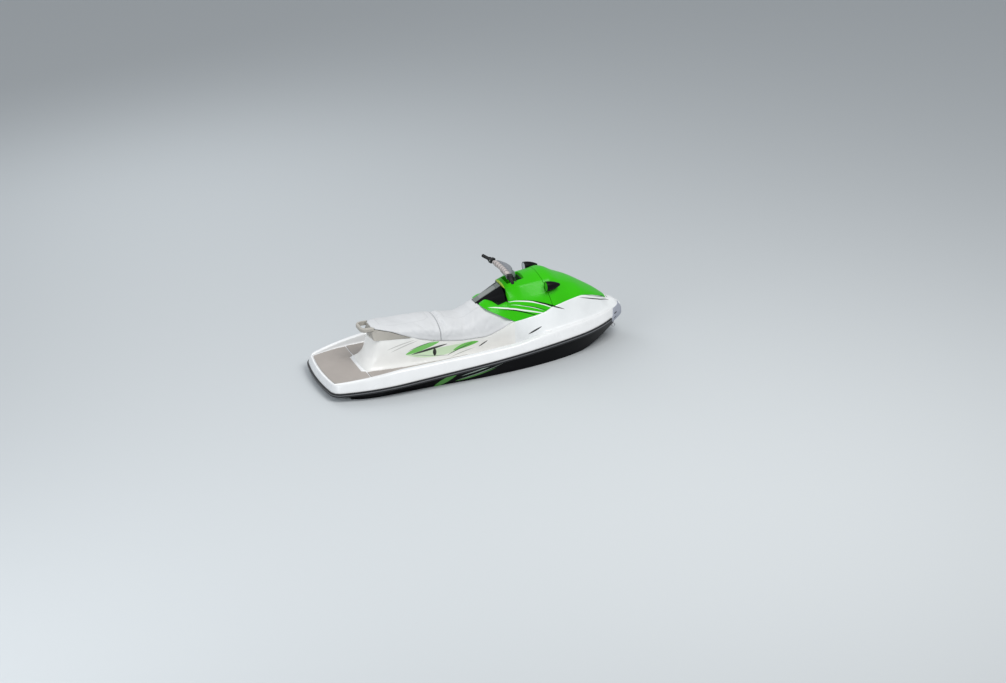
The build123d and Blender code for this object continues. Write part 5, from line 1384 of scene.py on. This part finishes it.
def makeRail():
    # The rail's body and the thin insert that stands out of its face. The insert's grey is partly its own
    # colour and partly a painted highlight along the rail.
    r, path = railShape, rimPath(False)
    body = blockProfile(r["fit"], r["width"], -r["drop"], r["rise"])
    insert = blockProfile(r["width"] - r["insertSink"], r["insertOut"], r["insertLow"], r["insertHigh"])
    piece = sweptRim("rail_body", path, body, r["round"])
    return piece, sweptRim("rail_insert", path, insert, r["insertRound"])


railBody, railInsertHighlight = makeRail()
dress(railBody, "rail_black", "root", ["rub_rail"])
# the insert's grey is partly its own colour and partly a painted highlight along the rail
dress(railInsertHighlight, "trim_grey", finish="insertHighlightGrey")
bumperPiece, slotShadeStrips = makeBumper()
dress(bumperPiece, "bumper_grey", "root", ["bow_bumper"])
# black strips in the bumper's slots: painted shade
dress(slotShadeStrips, "rail_black")
print("rail and bumper made")

# Ribs on the footwell mats

matShape = {"pitch": 0.012, "width": 0.0065, "proud": 0.0016, "low": 0.08, "high": 0.50}


def makeMatRibs(name):
    # Thin upright slabs along X, cut to the mat's own outline by the mat lifted a little
    m = matShape
    lifted = addObject("lifted", nodes[name].data.copy())
    points = getPoints(lifted)
    tidyMesh(lifted)
    setPoints(lifted, getPoints(lifted) + np.array([0, 0, m["proud"]]))
    low, high = points.min(0), points.max(0)
    count = int((high[1] - low[1]) / m["pitch"]) - 1
    y = (low[1] + high[1]) / 2 + (np.arange(count) - (count - 1) / 2) * m["pitch"]
    sides, heights = (-m["width"] / 2, m["width"] / 2), (m["low"], m["high"])
    block = np.array([(x, side, z) for x in (low[0], high[0]) for side in sides for z in heights])
    vertices = block[None] + y[:, None, None] * [0, 1, 0]
    faces = np.array([(0, 1, 3, 2), (4, 6, 7, 5), (0, 4, 5, 1), (2, 3, 7, 6), (0, 2, 6, 4), (1, 5, 7, 3)])
    index = faces[None] + 8 * np.arange(count)[:, None, None]
    comb = meshFrom(name + "_ribs", vertices.reshape(-1, 3).tolist(), index.reshape(-1, 4).tolist())
    return carve(comb, [lifted], "INTERSECT")


for name in ("mat_rear", "mat_port", "mat_starboard"):
    dress(makeMatRibs(name), "mat_foam")
print("mat ribs made")

# Screen on the instrument display

screenShape = {
    "foot": (0.494, 0.727), "lean": 0.056, "rise": 0.173, "low": 0.013, "high": 0.051, "half": 0.054,
    "display": 0.0160, "proud": 0.0012,
}


def makeScreen():
    # A thin plate on the display's face, which leans forward as it rises
    s = screenShape
    foot, up = np.array(s["foot"]), np.array((s["lean"], s["rise"])) / math.hypot(s["lean"], s["rise"])
    out = np.array((-up[1], up[0]))
    corners = blockProfile(s["low"], s["high"], s["display"], s["display"] + s["proud"])
    outline = [tuple(foot + up * along + out * lift) for along, lift in corners]
    return prism("display_screen", outline, s["half"])


dress(makeScreen(), "console_black", finish="screenGlass")
print("screen made")

# CAD nodes that stay: shading and edges

def makeShadeGroup():
    # Joins a CAD mesh's loose triangles and shades it smooth, apart from edges over the angle
    group = bpy.data.node_groups.new("weldAndShade", "GeometryNodeTree")
    for way in ("INPUT", "OUTPUT"):
        group.interface.new_socket("Geometry", in_out=way, socket_type="NodeSocketGeometry")
    group.interface.new_socket("Angle", in_out="INPUT", socket_type="NodeSocketFloat").default_value = 0.5
    start, end = group.nodes.new("NodeGroupInput").outputs, group.nodes.new("NodeGroupOutput").inputs
    weld = {"Geometry": start["Geometry"], "Distance": weldDistance}
    merge = newNode(group, "GeometryNodeMergeByDistance", weld)
    smooth = {"Geometry": merge.outputs["Geometry"], "Shade Smooth": True}
    faces = newNode(group, "GeometryNodeSetShadeSmooth", smooth, domain="FACE")
    turn = group.nodes.new("GeometryNodeInputMeshEdgeAngle")
    angles = {"A": turn.outputs["Unsigned Angle"], "B": start["Angle"]}
    over = newNode(group, "FunctionNodeCompare", angles, data_type="FLOAT", operation="GREATER_THAN")
    sharp = {"Geometry": faces.outputs["Geometry"], "Selection": over.outputs["Result"]}
    edges = newNode(group, "GeometryNodeSetShadeSmooth", sharp | {"Shade Smooth": False}, domain="EDGE")
    group.links.new(edges.outputs["Geometry"], end["Geometry"])
    return group


shadeGroup = makeShadeGroup()
bevelWidths = {
    # node: width of the edges' rounding, in metres
    "mat_rear": 0.0015, "mat_port": 0.0015, "mat_starboard": 0.0015, "grab_handle": 0.004,
    "storage_bin": 0.0012, "glovebox_lid": 0.0015, "display": 0.003, "sponson_port": 0.006,
    "sponson_starboard": 0.006, "pump_housing": 0.002, "ride_plate": 0.003, "intake_grate": 0.0015,
    "bow_eye": 0.002, "stern_eye_port": 0.002, "stern_eye_starboard": 0.002, "engine_block": 0.01,
    "steering_nozzle": 0.002, "reverse_bucket": 0.002,
}
slotOf = {row["node"]: row["material_slot"] for row in frame["record"]["subparts"]}
for name, node in nodes.items():
    withSettings(node.modifiers.new("shade", "NODES"), node_group=shadeGroup)
    if name in bevelWidths:
        bevel = node.modifiers.new("edges", "BEVEL")
        withSettings(bevel, width=bevelWidths[name], segments=2, limit_method="ANGLE", harden_normals=False)
        bevel.angle_limit = math.radians(40)
    finish = materials["shroudGrey" if name == "steering_shroud" else slotFinish[slotOf[name]]]
    node.data.materials.clear()
    node.data.materials.append(finish)
print("CAD nodes shaded")

# Stage

stageShape = {
    "floorHalf": 60.0, "floorColour": (0.56, 0.59, 0.61, 1), "floorRoughness": 0.6,
    "worldColour": (0.88, 0.92, 0.96, 1), "worldStrength": 0.50, "lampTarget": (0, 0, 0.3),
}


def makeStage():
    s = stageShape
    half = s["floorHalf"]
    corners = [(-half, -half, 0), (half, -half, 0), (half, half, 0), (-half, half, 0)]
    floor = meshFrom("floor", corners, [(0, 1, 2, 3)])
    paint = bpy.data.materials.new("paleFloor")
    paint.use_nodes = True
    tree = paint.node_tree
    shader = tree.nodes["Principled BSDF"]
    shader.inputs["Base Color"].default_value = s["floorColour"]
    shader.inputs["Roughness"].default_value = s["floorRoughness"]
    floor.data.materials.append(paint)
    world = bpy.data.worlds.new("softSky")
    world.use_nodes = True
    back = world.node_tree.nodes["Background"]
    back.inputs["Color"].default_value = s["worldColour"]
    back.inputs["Strength"].default_value = s["worldStrength"]
    bpy.context.scene.world = world
    lamps = [
        # name, place, size, power, colour
        ("keyLamp", (2.0, -5.0, 8.5), 5.0, 600.0, (1.0, 0.985, 0.96)),
        ("fillLamp", (-7.0, -4.0, 4.0), 5.0, 190.0, (0.96, 0.98, 1.0)),
        ("backLamp", (-2.0, 7.0, 6.0), 5.0, 170.0, (0.95, 0.98, 1.0)),
    ]
    for name, place, size, power, colour in lamps:
        light = withSettings(bpy.data.lights.new(name, "AREA"), size=size, energy=power, color=colour)
        lamp = withSettings(addObject(name, light), location=place)
        aim = Vector(s["lampTarget"]) - Vector(place)
        lamp.rotation_euler = aim.to_track_quat("-Z", "Y").to_euler()


makeStage()
bpy.context.scene.view_settings.view_transform = "Standard"
print("scene finished")
